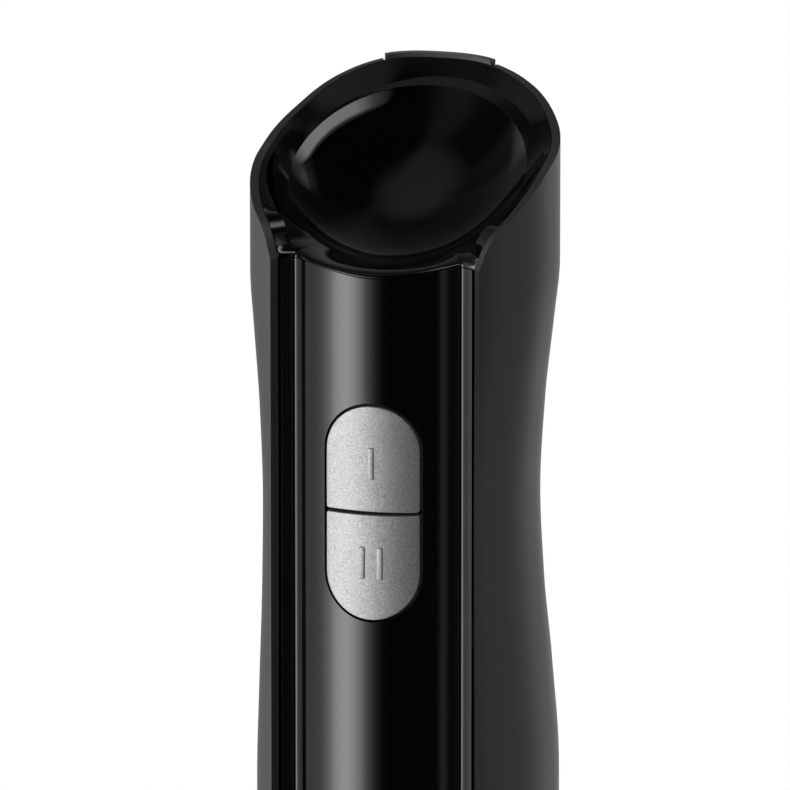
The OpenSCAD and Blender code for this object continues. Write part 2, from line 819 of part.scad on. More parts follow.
module shaft_tube() {
    color("#c4c6c8") translate([0, 0, 46]) difference() {
        cylinder(r = tube_r, h = 78, $fn = 96);
        translate([0, 0, -1]) cylinder(r = tube_r - 1, h = 80, $fn = 96);
    }
}

module bell() {
    inner = [for (p = side(bell_line, 22, -bell_wall)) [p[1] > 45 ? tube_r + 0.02 : max(p[0], tube_r - 1), p[1]]];
    color("#c4c6c8") difference() {
        rotate_extrude($fn = 120) polygon(concat(side(bell_line, 22, 0), flipped(inner)));
        for (a = [0, 90]) rotate(a) {
            translate([-40, -7, -1]) cube([80, 14, 4]);
            translate([-40, 0, 3]) rotate([0, 90, 0]) cylinder(r = 7, h = 80);
        }
    }
}

// Plug in the end of the tube that carries the lower bush and the seal
module bush_holder() {
    color("#232325") rotate_extrude() polygon([
        [6, 37], [tube_r - 1.02, 37], [tube_r - 1.02, 52], [6, 52]
    ]);
}

module upper_bush() { bush(158.5, 12); }
module lower_bush() { bush(40, 12); }

// Sintered bronze bush
module bush(z, length) {
    color("#a8793c") translate([0, 0, z]) rotate_extrude()
        translate([drive_r + running, 0]) square([6 - drive_r - running, length]);
}

module shaft_seal() {
    color("#5a2a26") rotate_extrude() polygon([
        [drive_r + running, 33], [5, 33], [5.9, 35], [5.9, 39.9], [drive_r + running, 39.9]
    ]);
}

module drive_shaft() {
    color("#b8babc") translate([0, 0, 7.5]) cylinder(r = drive_r, h = dog_face - 1 - 7.5);
}

module blade_washer() {
    color("#a8aaac") translate([0, 0, blade_z + 2.4]) difference() {
        cylinder(r = 5.4, h = 1.2);
        translate([0, 0, -1]) cylinder(r = drive_r, h = 4);
    }
}

// One wing of the blade, swept back towards its tip
module blade_wing() {
    linear_extrude(1.2) polygon([
        [3.5, -4.5], [9, -4.8], [17, -3.2], [blade_r - 1.2, 0.4], [blade_r - 2.2, 3.2],
        [15, 3.6], [9, 4.4], [3.5, 4.5]
    ]);
}

module blade() {
    color("#cfd1d3") difference() {
        union() {
            translate([0, 0, blade_z]) cylinder(r = 6, h = 2.4);
            translate([0, 0, blade_z + 0.3]) rotate([0, -9, 0]) blade_wing();
            translate([0, 0, blade_z + 0.9]) rotate([0, 0, 180]) rotate([0, 7, 0]) blade_wing();
        }
        translate([0, 0, blade_z - 3]) cylinder(r = drive_r, h = 8);
    }
}

module blade_nut() {
    color("#b8babc") translate([0, 0, blade_z - 5.5]) difference() {
        union() {
            translate([0, 0, 1.5]) cylinder(r = 4.8, h = 4, $fn = 6);
            cylinder(r1 = 2.6, r2 = 4.1, h = 1.51);
        }
        translate([0, 0, 1]) cylinder(r = drive_r, h = 6);
    }
}

// ---- One line for each node ----

grip_shell();
top_cap();
front_panel();
rear_cover();
cord_gland();
collar_ring();
collar_trim();
socket_ring();
inner_chassis();
control_board();
switch_body(one_z);  // switch_one
switch_body(two_z);  // switch_two
noise_filter();
terminal_block();
cord_clamp();
motor_ring();
stator_core();
field_coils();
upper_bracket();
lower_bracket();
ball_bearing(bearing_high);  // upper_bearing
ball_bearing(bearing_low);  // lower_bearing
brush_holders();
carbon_brushes();
brush_springs();
motor_screws();
casing_screws();
latch_ring();
release_spring(-1);  // release_spring_left
release_spring(1);  // release_spring_right
button_spring(one_z);  // button_spring_one
button_spring(two_z);  // button_spring_two
speed_button(true, [0]);  // speed_button_one
switch_plunger(one_z);  // switch_plunger_one
speed_button(false, [-1.95, 1.95]);  // speed_button_two
switch_plunger(two_z);  // switch_plunger_two
release_button(-1);  // release_button_left
release_button(1);  // release_button_right
motor_shaft();
armature_core();
armature_windings();
commutator();
cooling_fan();
drive_dog();
foot_hub();
foot_spigot();
spigot_seal();
shaft_tube();
bell();
bush_holder();
upper_bush();
lower_bush();
shaft_seal();
driven_dog();
drive_shaft();
blade_washer();
blade();
blade_nut();
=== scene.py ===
# %% [markdown]
# # An immersion blender, cell by cell
# The handle is three shells: a soft-touch grip, a gloss strip down the front and a gloss cap
# with a dish for the thumb. Below it are a collar, a foot that pulls off, a steel bell and a
# blade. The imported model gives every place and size. Here each visible shell is made again with
# finer surfaces, and every piece gets a finish. Lengths are in millimetres until a mesh is
# built.

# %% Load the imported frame
import bisect
import json
from math import asin, atan2, cos, pi, radians, sin, sqrt

import bmesh
import bpy
from mathutils import Matrix, Vector


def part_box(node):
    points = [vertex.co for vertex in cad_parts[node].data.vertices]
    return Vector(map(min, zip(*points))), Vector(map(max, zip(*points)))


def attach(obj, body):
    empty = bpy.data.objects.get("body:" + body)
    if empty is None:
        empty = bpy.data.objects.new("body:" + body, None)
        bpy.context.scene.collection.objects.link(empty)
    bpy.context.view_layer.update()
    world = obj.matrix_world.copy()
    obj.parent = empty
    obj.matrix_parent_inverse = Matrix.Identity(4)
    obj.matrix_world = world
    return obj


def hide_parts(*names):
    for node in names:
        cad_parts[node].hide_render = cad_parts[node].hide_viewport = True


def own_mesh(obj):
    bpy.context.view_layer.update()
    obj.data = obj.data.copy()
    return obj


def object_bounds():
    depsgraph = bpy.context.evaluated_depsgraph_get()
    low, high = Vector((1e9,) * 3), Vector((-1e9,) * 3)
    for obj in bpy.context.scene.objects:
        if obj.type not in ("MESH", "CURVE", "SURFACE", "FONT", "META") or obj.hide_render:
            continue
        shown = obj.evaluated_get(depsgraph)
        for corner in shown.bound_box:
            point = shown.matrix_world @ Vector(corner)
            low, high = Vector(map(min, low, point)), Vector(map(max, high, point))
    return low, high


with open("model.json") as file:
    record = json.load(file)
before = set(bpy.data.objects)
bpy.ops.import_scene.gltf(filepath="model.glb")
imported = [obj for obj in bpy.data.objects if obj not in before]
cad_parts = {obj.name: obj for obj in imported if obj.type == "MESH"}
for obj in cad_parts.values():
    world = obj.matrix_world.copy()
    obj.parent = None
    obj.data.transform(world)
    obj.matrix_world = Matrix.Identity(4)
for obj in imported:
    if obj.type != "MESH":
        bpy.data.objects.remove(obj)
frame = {"nodes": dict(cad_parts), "record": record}
size_at_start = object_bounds()
MM = 0.001
TOP = size_at_start[1].z / MM
print("the object is", round(TOP, 1), "mm high, in", len(frame["nodes"]), "pieces")


# %% [markdown]
# ## Small tools
# Most shells here are lofts: rows of points laid over each other and skinned with four-sided
# faces. `build` merges what coincides, turns the skin outwards by the sign of its volume and
# rounds the sharp edges with a Bevel modifier, because no moulded edge is perfectly sharp and
# its thin highlight shows the shape.

# %% Helpers for numbers and outlines
def low(node):
    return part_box(node)[0] / MM


def high(node):
    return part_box(node)[1] / MM


def middle(node):
    return (low(node) + high(node)) / 2


def lerp(a, b, f):
    return a + (b - a) * f


def ease(f):
    f = min(1.0, max(0.0, f))
    return f * f * (3 - 2 * f)


def smooth_curve(rows):
    """A curve through (x, value) rows that never overshoots them."""
    xs = [r[0] for r in rows]
    ys = [r[1] for r in rows]
    steps = [(b[1] - a[1]) / (b[0] - a[0]) for a, b in zip(rows, rows[1:])]
    means = [0 if a * b <= 0 else 2 * a * b / (a + b) for a, b in zip(steps, steps[1:])]
    slopes = [steps[0]] + means + [steps[-1]]

    def at(x):
        i = min(max(bisect.bisect_right(xs, x) - 1, 0), len(xs) - 2)
        h = xs[i + 1] - xs[i]
        f = (x - xs[i]) / h
        return lerp(ys[i], ys[i + 1], f * f * (3 - 2 * f)) + h * (
            f * (1 - f) ** 2 * slopes[i] - f * f * (1 - f) * slopes[i + 1])

    return at


def circle(r, n):
    """Round a circle in n points (x, y)."""
    return [(r * cos(2 * pi * k / n), r * sin(2 * pi * k / n)) for k in range(n)]


def rounded_box(w, h, r, n):
    """A rectangle of half sides w and h, with n steps round each corner of radius r."""
    return [(sx * (w - r) + r * cos(a), sy * (h - r) + r * sin(a))
            for quarter, (sx, sy) in enumerate(((1, 1), (-1, 1), (-1, -1), (1, -1)))
            for a in [pi / 2 * (quarter + k / n) for k in range(n + 1)]]


# %% Helpers for meshes
def link(name, mesh):
    obj = bpy.data.objects.new(name, mesh)
    bpy.context.scene.collection.objects.link(obj)
    return obj


def settle(obj):
    """Replace an object's mesh by what its modifiers make of it."""
    bpy.context.view_layer.update()
    graph = bpy.context.evaluated_depsgraph_get()
    mesh = bpy.data.meshes.new_from_object(obj.evaluated_get(graph))
    obj.modifiers.clear()
    obj.data = mesh
    return obj


def place(mesh, where, turn, axis):
    """Turn a mesh about the origin, then move it, in millimetres."""
    mesh.transform(Matrix.Translation(Vector(where) * MM) @ Matrix.Rotation(turn, 4, axis))


def tidy(mesh, merge=0.004):
    """Merge points closer than merge millimetres and turn the skin outwards."""
    bm = bmesh.new()
    bm.from_mesh(mesh)
    bmesh.ops.remove_doubles(bm, verts=bm.verts, dist=merge * MM)
    bmesh.ops.dissolve_degenerate(bm, edges=bm.edges, dist=merge * MM * 0.5)
    if bm.calc_volume(signed=True) < 0:
        bmesh.ops.reverse_faces(bm, faces=bm.faces)
    open_edges = sum(1 for e in bm.edges if not e.is_manifold)
    bm.to_mesh(mesh)
    bm.free()
    mesh.shade_smooth()
    return open_edges


def round_edges(obj, width, sharp=35, segments=3):
    bevel = obj.modifiers.new("rounding", "BEVEL")
    bevel.width = width * MM
    bevel.segments = segments
    bevel.limit_method = "ANGLE"
    bevel.angle_limit = radians(sharp)
    bevel.harden_normals = True
    return settle(obj)


def build(name, points, faces, edge=0.0, sharp=35):
    """A finished closed mesh object from points in millimetres."""
    mesh = bpy.data.meshes.new(name)
    mesh.from_pydata([Vector(p) * MM for p in points], [], faces)
    open_edges = tidy(mesh)
    obj = link(name, mesh)
    if edge:
        round_edges(obj, edge, sharp)
    print(name, len(obj.data.polygons), "faces,", open_edges, "open edges")
    return obj


def skin(rows, closed_along=False):
    """Four-sided faces over rings of points; gives flat points and faces."""
    cols = len(rows[0])
    points = [p for row in rows for p in row]
    faces = []
    for j in range(len(rows) if closed_along else len(rows) - 1):
        k = (j + 1) % len(rows)
        for i in range(cols):
            n = (i + 1) % cols
            faces.append((j * cols + i, j * cols + n, k * cols + n, k * cols + i))
    return points, faces


def closed_rings(name, rows):
    """A solid skinned over rings, with both ends closed."""
    points, faces = skin(rows)
    cols = len(rows[0])
    last = (len(rows) - 1) * cols
    return build(name, points, faces + [tuple(reversed(range(cols))),
                                        tuple(range(last, last + cols))])


def rod(name, r, y0, y1, z):
    """A closed rod along Y, used as a stem or as a drill."""
    return closed_rings(name, [[Vector((x, y, z + h)) for x, h in circle(r, 48)]
                               for y in (y0, y1)])


def cut(obj, *cutters):
    """Take solids away from an object, and the solids themselves afterwards."""
    for solid in cutters:
        knife = obj.modifiers.new("cut", "BOOLEAN")
        knife.operation = "DIFFERENCE"
        knife.solver = "EXACT"
        knife.object = solid
    settle(obj)
    for solid in cutters:
        bpy.data.objects.remove(solid)
    obj.data.shade_smooth()


def join(name, *objects):
    """One mesh object out of several."""
    bm = bmesh.new()
    for obj in objects:
        bm.from_mesh(obj.data)
    mesh = bpy.data.meshes.new(name)
    bm.to_mesh(mesh)
    bm.free()
    for obj in objects:
        bpy.data.objects.remove(obj)
    mesh.shade_smooth()
    return link(name, mesh)


# %% [markdown]
# ## Finishes
# Plastic, paint, rubber and turned steel differ in how sharp a reflection is, how it breaks up
# in fine grain, and how edges differ from the rest. Two shader groups carry that. `Fine grain`
# gives a bumped normal and a roughness that wanders a little, and `Edge mask` compares the
# surface's normal with one that is rounded over a small radius. Every finish keeps its own
# Principled shader and places the groups with its own values.

# %% Helpers for nodes
def feed(node, inputs):
    """Set inputs to values, or link them from a socket or from a node's first output."""
    for key, value in inputs.items():
        if isinstance(value, bpy.types.Node):
            value = value.outputs[0]
        if isinstance(value, bpy.types.NodeSocket):
            node.id_data.links.new(value, node.inputs[key])
        else:
            node.inputs[key].default_value = value
    return node


def add(tree, kind, inputs=None, **settings):
    node = tree.nodes.new(kind)
    for key, value in settings.items():
        setattr(node, key, value)
    return feed(node, inputs or {})


def new_group(name, kind, takes, gives):
    """A node group with named and typed sockets; gives its tree, input sockets and output."""
    tree = bpy.data.node_groups.new(name, kind)
    for way, sockets in (("INPUT", takes), ("OUTPUT", gives)):
        for label, socket in sockets.items():
            tree.interface.new_socket(label, in_out=way, socket_type="NodeSocket" + socket)
    return tree, tree.nodes.new("NodeGroupInput").outputs, tree.nodes.new("NodeGroupOutput")


# %% The shader group for grain
grain_group, take, give = new_group(
    "Fine grain", "ShaderNodeTree",
    dict(Scale="Float", Stretch="Float", Depth="Float", Roughness="Float", Spread="Float"),
    dict(Normal="Vector", Roughness="Float", Grain="Float"))
where = add(grain_group, "ShaderNodeTexCoord").outputs["Object"]
stretch = add(grain_group, "ShaderNodeCombineXYZ", {"X": 1.0, "Y": 1.0, "Z": take["Stretch"]})
stretched = add(grain_group, "ShaderNodeVectorMath", {0: where, 1: stretch}, operation="MULTIPLY")
fine = add(grain_group, "ShaderNodeTexNoise",
           {"Vector": stretched, "Scale": take["Scale"], "Detail": 2.0})
bump = add(grain_group, "ShaderNodeBump",
           {"Strength": 1.0, "Distance": take["Depth"], "Height": fine})
slow = add(grain_group, "ShaderNodeTexNoise", {"Vector": where, "Scale": 45.0, "Detail": 4.0})
swing = add(grain_group, "ShaderNodeMath", {0: slow, 1: 0.5}, operation="SUBTRACT")
rough = add(grain_group, "ShaderNodeMath", {0: swing, 1: take["Spread"], 2: take["Roughness"]},
            operation="MULTIPLY_ADD")
feed(give, {"Normal": bump, "Roughness": rough, "Grain": fine})
print("group:", grain_group.name)

# %% The shader group for edges
edge_group, take, give = new_group("Edge mask", "ShaderNodeTree",
                                   dict(Radius="Float", Amount="Float"), dict(Edge="Float"))
rounded = add(edge_group, "ShaderNodeBevel", {"Radius": take["Radius"]}, samples=4)
true_normal = add(edge_group, "ShaderNodeNewGeometry").outputs["Normal"]
likeness = add(edge_group, "ShaderNodeVectorMath", {0: rounded, 1: true_normal},
               operation="DOT_PRODUCT").outputs["Value"]
feed(give, {"Edge": add(edge_group, "ShaderNodeMapRange", {
    "Value": likeness, "From Min": 0.995, "From Max": 0.85, "To Max": take["Amount"]})})
print("group:", edge_group.name)


# %% [markdown]
# A finish is then a short list: colour, roughness, how metallic it is, and its grain. An edge
# is a little lighter, as plastic that is rubbed bright or metal that is handled. The soft-touch
# coat has sheen, a velvety light at grazing angles.

# %% The maker of finishes
finishes = {}


def finish(slot, colour, roughness, metallic=0.0, scale=2500.0, stretch=1.0, depth=0.004,
           spread=0.06, edge=0.25, radius=0.35, speckle=0.0, **settings):
    """A procedural material for one of the record's slots; depth and radius are in mm."""
    material = bpy.data.materials.new("finish_" + slot)
    material.use_nodes = True
    tree = material.node_tree
    grain = add(tree, "ShaderNodeGroup",
                {"Scale": scale, "Stretch": stretch, "Depth": depth * MM, "Roughness": roughness,
                 "Spread": spread}, node_tree=grain_group).outputs
    edges = add(tree, "ShaderNodeGroup", {"Radius": radius * MM, "Amount": edge},
                node_tree=edge_group)
    bright = (*[min(1.0, c * 1.6 + 0.02) for c in colour], 1.0)
    dark = (*[c * (1 - speckle) for c in colour], 1.0)
    fleck = add(tree, "ShaderNodeMix", {0: grain["Grain"], 6: dark, 7: (*colour, 1.0)},
                data_type="RGBA")
    tone = add(tree, "ShaderNodeMix", {0: edges, 6: fleck.outputs[2], 7: bright},
               data_type="RGBA")
    feed(tree.nodes["Principled BSDF"],
         {"Base Color": tone.outputs[2], "Roughness": grain["Roughness"],
          "Normal": grain["Normal"], "Metallic": metallic,
          **{label.replace("_", " "): value for label, value in settings.items()}})
    finishes[slot] = material


# %% Finishes of the casing
finish("soft_touch", (0.010, 0.010, 0.0105), 0.52, scale=5200, depth=0.006, spread=0.05,
       edge=0.3, speckle=0.25, Sheen_Weight=0.02, Sheen_Roughness=0.35)
finish("gloss_black", (0.0007, 0.0007, 0.0009), 0.075, scale=900, depth=0.0004, spread=0.03,
       edge=0.06)
finish("satin_black", (0.009, 0.009, 0.0094), 0.46, scale=3800, depth=0.005, speckle=0.2)
finish("black_rubber", (0.016, 0.016, 0.016), 0.66, scale=2600, depth=0.008, speckle=0.3)
finish("silver_paint", (0.47, 0.47, 0.476), 0.5, metallic=0.9, scale=2900, depth=0.045,
       spread=0.05, edge=0.3, radius=0.15, speckle=0.75)
finish("grey_button", (0.045, 0.045, 0.047), 0.45, scale=3000, depth=0.006, speckle=0.2)
finish("bright_trim", (0.72, 0.72, 0.73), 0.16, metallic=1.0, scale=1400, stretch=30,
       depth=0.0008)
finish("steel", (0.66, 0.66, 0.67), 0.27, metallic=1.0, scale=150, stretch=70, depth=0.002,
       spread=0.14, speckle=0.24)
print(len(finishes), "finishes of the casing")

# %% [markdown]
# The inside is made of duller stuff: ribbed grey nylon, a green board, enamelled copper,
# stamped laminations, brass, carbon, sintered bronze and drawn spring wire.

# %% Finishes of the inside
finish("inner_plastic", (0.055, 0.055, 0.058), 0.52, scale=1800, depth=0.006, speckle=0.25)
finish("board", (0.012, 0.085, 0.035), 0.38, scale=1300, depth=0.004, speckle=0.4)
finish("switch_plastic", (0.02, 0.021, 0.025), 0.4, scale=2600, depth=0.004)
finish("pale_plastic", (0.78, 0.76, 0.70), 0.45, scale=1700, depth=0.004, speckle=0.06)
finish("dog_plastic", (0.62, 0.58, 0.46), 0.48, scale=1700, depth=0.006, speckle=0.12)
finish("laminations", (0.26, 0.265, 0.275), 0.42, metallic=0.9, scale=900, stretch=14,
       depth=0.02, speckle=0.45)
finish("copper", (0.72, 0.29, 0.13), 0.3, metallic=0.9, scale=700, stretch=9, depth=0.03,
       speckle=0.4)
finish("bracket_alloy", (0.46, 0.465, 0.475), 0.5, metallic=0.85, scale=1500, depth=0.012,
       speckle=0.2)
finish("bearing_steel", (0.66, 0.665, 0.675), 0.2, metallic=1.0, scale=900, stretch=12,
       depth=0.001)
finish("brass_parts", (0.68, 0.48, 0.17), 0.32, metallic=1.0, scale=1200, depth=0.003,
       speckle=0.15)
finish("carbon", (0.022, 0.022, 0.024), 0.62, scale=2400, depth=0.012, speckle=0.4)
finish("spring_steel", (0.50, 0.505, 0.515), 0.28, metallic=1.0, scale=1100, depth=0.002)
finish("seal_rubber", (0.16, 0.045, 0.035), 0.6, scale=1900, depth=0.006, speckle=0.2)
finish("blade_steel", (0.70, 0.705, 0.715), 0.17, metallic=1.0, scale=420, stretch=0.1,
       depth=0.0012, spread=0.1, speckle=0.08)
print(len(finishes), "finishes in all")

# %% [markdown]
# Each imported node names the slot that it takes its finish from, so one loop dresses the whole
# inside. The pieces that are remade below get the same finish by name.

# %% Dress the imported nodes
node_slot = {}
for name, node in frame["nodes"].items():
    for holder in node.material_slots:
        node_slot[name] = holder.material.name.split(".")[0]
        holder.material = finishes[node_slot[name]]
print("dressed", len(node_slot), "nodes")


def stand_for(obj, node):
    """The new piece rides where its node rides, and takes its finish."""
    bodies = frame["record"]["behaviour"]["bodies"]
    body = next(b for b, names in bodies.items() if node in names)
    obj.data.materials.clear()
    obj.data.materials.append(finishes[node_slot[node]])
    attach(obj, body)
    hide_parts(node)
    return obj


# %% [markdown]
# ## The grip shell
# The grip is a thin open shell. Its section is a rounded square, a superellipse, that is cut
# off at the front where the gloss strip sits. Down the handle it swells, narrows into a waist
# and swells again for the palm. Its rim drops in a long S from the back to the front edges. One
# function gives the point on the section at any depth, and the rim is a curve over it.

# %% The section of the grip
SECTION = 2.6
WALL = 1.8
SEAM = 0.15
EDGE = Vector((23.0, -30.7))
HEAD_T = 20.0
HEAD_END = 42.0
SHELL_END = TOP - low("grip_shell").z
# Depth below the top, half width, centre and back of the section
STATIONS = [
    (0, 32.4, -3.4, 27.1), (40, 32.4, -3.4, 27.1), (52, 31.4, -4, 25.6), (70, 29.7, -5, 23.4),
    (90, 28.8, -5.6, 22.4), (110, 29.3, -4.2, 24.4), (130, 30.4, -1.8, 29),
    (154, 31.4, 0, 33), (172, 31.2, 0.3, 33.4), (192, 29.6, 0, 31),
]
# Place from front to back, and depth of the rim there
RIM = [
    (-30.7, 34.5), (-30.2, 32.8), (-29.5, 30.4), (-27.7, 27.3), (-24.6, 25), (-18.7, 21.5),
    (-9.1, 17.8), (2.3, 15.2), (13.6, 11.3), (22.4, 5.3), (25, 3), (26.4, 1.6), (27.1, 1),
]
half_width, middle_y, back_y = [smooth_curve([(s[0], s[k]) for s in STATIONS])
                                for k in (1, 2, 3)]
rim_depth = smooth_curve(RIM)


def grip_point(u, t, inset):
    """Point of the section at depth t; u runs from the right front edge round the back."""
    a, yc = half_width(t), middle_y(t)
    start = atan2(EDGE.y - yc, EDGE.x)
    th = start + u * (pi - 2 * start)
    front = (yc - EDGE.y) / (1 - (EDGE.x / a) ** SECTION) ** (1 / SECTION)
    b = front if sin(th) < 0 else back_y(t) - yc
    r = ((abs(cos(th)) / (a - inset)) ** SECTION
         + (abs(sin(th)) / (b - inset)) ** SECTION) ** (-1 / SECTION)
    return Vector((r * cos(th), yc + r * sin(th)))


def rim_t(u):
    return rim_depth(grip_point(u, HEAD_T, 0).y)


def back_u(x):
    """u at which the head reaches half width x on the right of the back."""
    lo, hi = 0.3, 0.5
    for _ in range(24):
        mid = (lo + hi) / 2
        lo, hi = (mid, hi) if grip_point(mid, HEAD_T, 0).x > x else (lo, mid)
    return lo


print("rim: front", round(rim_t(0), 1), "side", round(rim_t(0.25), 1), "back", round(rim_t(0.5), 1))


# %% [markdown]
# The wall is the outer loft, the same loft set in by the wall's thickness, and strips that
# close its edges. At the back a notch is left for the cover.

# %% Build the grip shell
def wall_faces(rows, cols, opened=None):
    """Faces of a wall between an outer and an inner grid, closed where it isn't opened."""
    n = rows * cols
    faces = []
    for j in range(rows - 1):
        a, b = j * cols, (j + 1) * cols - 1
        for i in range(a, b):
            faces.append((i, i + 1, i + cols + 1, i + cols))
            faces.append((n + i, n + i + cols, n + i + cols + 1, n + i + 1))
        faces.append((a, a + cols, n + a + cols, n + a))
        if opened is None or opened[j] > 0 or opened[j + 1] > 0:
            faces.append((b, n + b, n + b + cols, b + cols))
    for i in range(cols - 1):
        e = (rows - 1) * cols + i
        faces.append((i, n + i, n + i + 1, i + 1))
        faces.append((e, e + 1, n + e + 1, n + e))
    return faces


def wall_solid(name, grid_at, edge=0.0):
    """A shell from the outer and inner grid of points that grid_at gives for an inset."""
    outer, inner = grid_at(0), grid_at(WALL)
    points = [p for grid in (outer, inner) for row in grid for p in row]
    return build(name, points, wall_faces(len(outer), len(outer[0])), edge)


COVER_HALF = high("rear_cover").x
COVER_LEN = 36.0
SIDE_COLS, COVER_COLS = 70, 14
HEAD_ROWS, GRIP_ROWS = 14, 74
corner = back_u(COVER_HALF + SEAM)
side_us = [back_u(COVER_HALF + 3 * SEAM) * (i / SIDE_COLS) ** 1.5 for i in range(SIDE_COLS + 1)]
mid_us = [lerp(corner, 1 - corner, i / COVER_COLS) for i in range(COVER_COLS + 1)]
grip_us = side_us + mid_us + [1 - u for u in reversed(side_us)]
side_top = [rim_t(u) for u in side_us]
grip_top = side_top + [COVER_LEN + SEAM] * len(mid_us) + side_top[::-1]


def grip_grid(inset):
    grid = []
    for j in range(GRIP_ROWS + 1):
        below = (j - HEAD_ROWS) / (GRIP_ROWS - HEAD_ROWS)
        ts = [lerp(rim, HEAD_END, (j / HEAD_ROWS) ** 1.2) if below <= 0
              else lerp(HEAD_END, SHELL_END, below) for rim in grip_top]
        grid.append([(*grip_point(u, t, inset), TOP - t) for u, t in zip(grip_us, ts)])
    return grid


stand_for(wall_solid("grip_outer", grip_grid, edge=0.28), "grip_shell")

# %% [markdown]
# ## The rear cover
# A narrow cover closes the notch behind the dish. It stands a little above the rim, so its ends
# show as two small steps. It is drilled for the gland of the supply lead.

# %% Build the rear cover
GLAND_Z = middle("cord_gland").z
GLAND_BORE = 5.2
COVER_PROUD = 1.0
cover_corner = back_u(COVER_HALF)
cover_us = [lerp(cover_corner, 1 - cover_corner, i / 28) for i in range(29)]


def cover_grid(inset):
    grid = []
    for j in range(25):
        ts = [lerp(rim_t(u) - COVER_PROUD, COVER_LEN, j / 24) for u in cover_us]
        grid.append([(*grip_point(u, t, inset), TOP - t) for u, t in zip(cover_us, ts)])
    return grid


rear = wall_solid("rear_cover_plate", cover_grid)
cut(rear, rod("drill", GLAND_BORE, 10, 40, GLAND_Z))
round_edges(rear, 0.3)
stand_for(rear, "rear_cover")

# %% [markdown]
# ## The thumb dish
# The cap's outline is the grip's rim, set in by the wall, and then the joint with the front
# strip. From every point of it a short profile runs in to the edge of an oval dish: behind the
# dish a slope and a lighter bevel, at the sides a flat band, a leaf-shaped slit and a slope,
# and at the front a brow that starts upright, in line with the strip, and rolls over into the
# lip. Inside the edge a bowl drops away. Every profile has the same number of points, so the
# cap is one loft, whose rows follow the slit and the bevel and keep their edges crisp.

# %% The cap's outline and the dish
PANEL_R, PANEL_YC = 30.3, -3.1
CREASE = radians(37.4)
FACE_EDGE = CREASE - radians(1.6)
FLANGE = Vector((21.1, -29.0))
JOINT_SIDE, JOINT_MID = 34.5, 36.7
DISH_A, DISH_B, DISH_YC = 25.9, 22.8, -2.25
DISH_T, DISH_SLOPE, DISH_DEEP = 20.6, 0.633, 9.5
LAND_WIDTH, LAND_FALL = 0.08, 23.5
BOWL_POWER, LAND_BOWL_POWER, MIDDLE_POWER = 2.6, 1.85, 2.2


def on_strip(a, r=PANEL_R):
    """Point of the strip's round face at an angle from its middle."""
    return Vector((r * sin(a), PANEL_YC - r * cos(a)))


crease_point = on_strip(CREASE)


def joint_t(x):
    """Depth of the joint between the cap and the strip."""
    return lerp(JOINT_MID, JOINT_SIDE, ease(abs(x) / crease_point.x))


def valley(n):
    """The fillet between the flange and the round face, on the right, as n + 1 points."""
    start = crease_point + (FLANGE - crease_point).normalized() * 0.75
    end = on_strip(FACE_EDGE)
    return [lerp(lerp(start, crease_point, k / n), lerp(crease_point, end, k / n), k / n)
            for k in range(n + 1)]


def bowl_point(a, f, land):
    """The finished bowl: a flat land inside the edge, then a curve shared at the middle."""
    start = 1 - land
    sunk = LAND_FALL * land
    power = lerp(BOWL_POWER, LAND_BOWL_POWER, land / LAND_WIDTH)
    outer = (LAND_FALL * (1 - f) if f > start
             else sunk + (DISH_DEEP - sunk) * (1 - (f / start) ** power))
    deep = lerp(DISH_DEEP * (1 - f ** MIDDLE_POWER), outer, ease((f - 0.3) / 0.55))
    x, y = DISH_A * f * cos(a), DISH_YC + DISH_B * f * sin(a)
    return Vector((x, y, TOP - DISH_T + DISH_SLOPE * (y - DISH_YC) - deep))


RIM_COLS = 360
outline = []
for i in range(RIM_COLS + 1):
    u = lerp(i / RIM_COLS, ease(i / RIM_COLS), 0.35)
    outline.append(Vector((*grip_point(u, HEAD_T, WALL + SEAM), TOP - rim_t(u))))
right_valley = valley(6)
left_valley = [Vector((-p.x, p.y)) for p in right_valley]
joint = left_valley + [on_strip(radians(a)) for a in range(-35, 36)] + right_valley[::-1]
outline += [Vector((p.x, p.y, TOP - joint_t(p.x))) for p in joint]
print("outline of the cap:", len(outline), "points")


# %% [markdown]
# `profile` gives one section of the cap. The share s runs from the outline (0) to the edge of
# the dish (1), and three laws of height, for the back, the sides and the brow, are blended by
# where the section stands. The slit is four rows between s0 and s1 that drop and rise again,
# and it fades to nothing at both ends.

# %% One profile of the cap
SLIT_START, SLIT_END = -3.0, -24.0
SLIT_WIDTH, SLIT_DEPTH = 0.125, 1.7
SLIT_SHELF = 0.35
BAND, BAND_RISE = 0.25, 0.155
BEVEL_FALL = 0.736
BEVEL_OPEN, BEVEL_SHUT = 0.565, 0.985
ROLL = 2.7
EDGE_STEPS = (0.0, 0.015, 0.04, 0.07)
BOWL_STEPS = (0.985, 0.96, 0.93, 0.89, 0.84, 0.78, 0.7, 0.61, 0.51, 0.4, 0.28, 0.15, 0.0)


def height_share(s, back, brow, bevel_at):
    """Share of the height from the outline to the dish's edge that is reached at s."""
    side = BAND_RISE * s / BAND if s < BAND else lerp(BAND_RISE, 1, (s - BAND) / (1 - BAND))
    bend = 1 - BEVEL_FALL * (1 - bevel_at)
    slope = bend * s / bevel_at if s < bevel_at else lerp(bend, 1, (s - bevel_at) / (1 - bevel_at))
    roll = max(0.0, 1 - (1 - s) ** ROLL) ** (1 / ROLL)
    return lerp(lerp(side, slope, back), roll, brow)


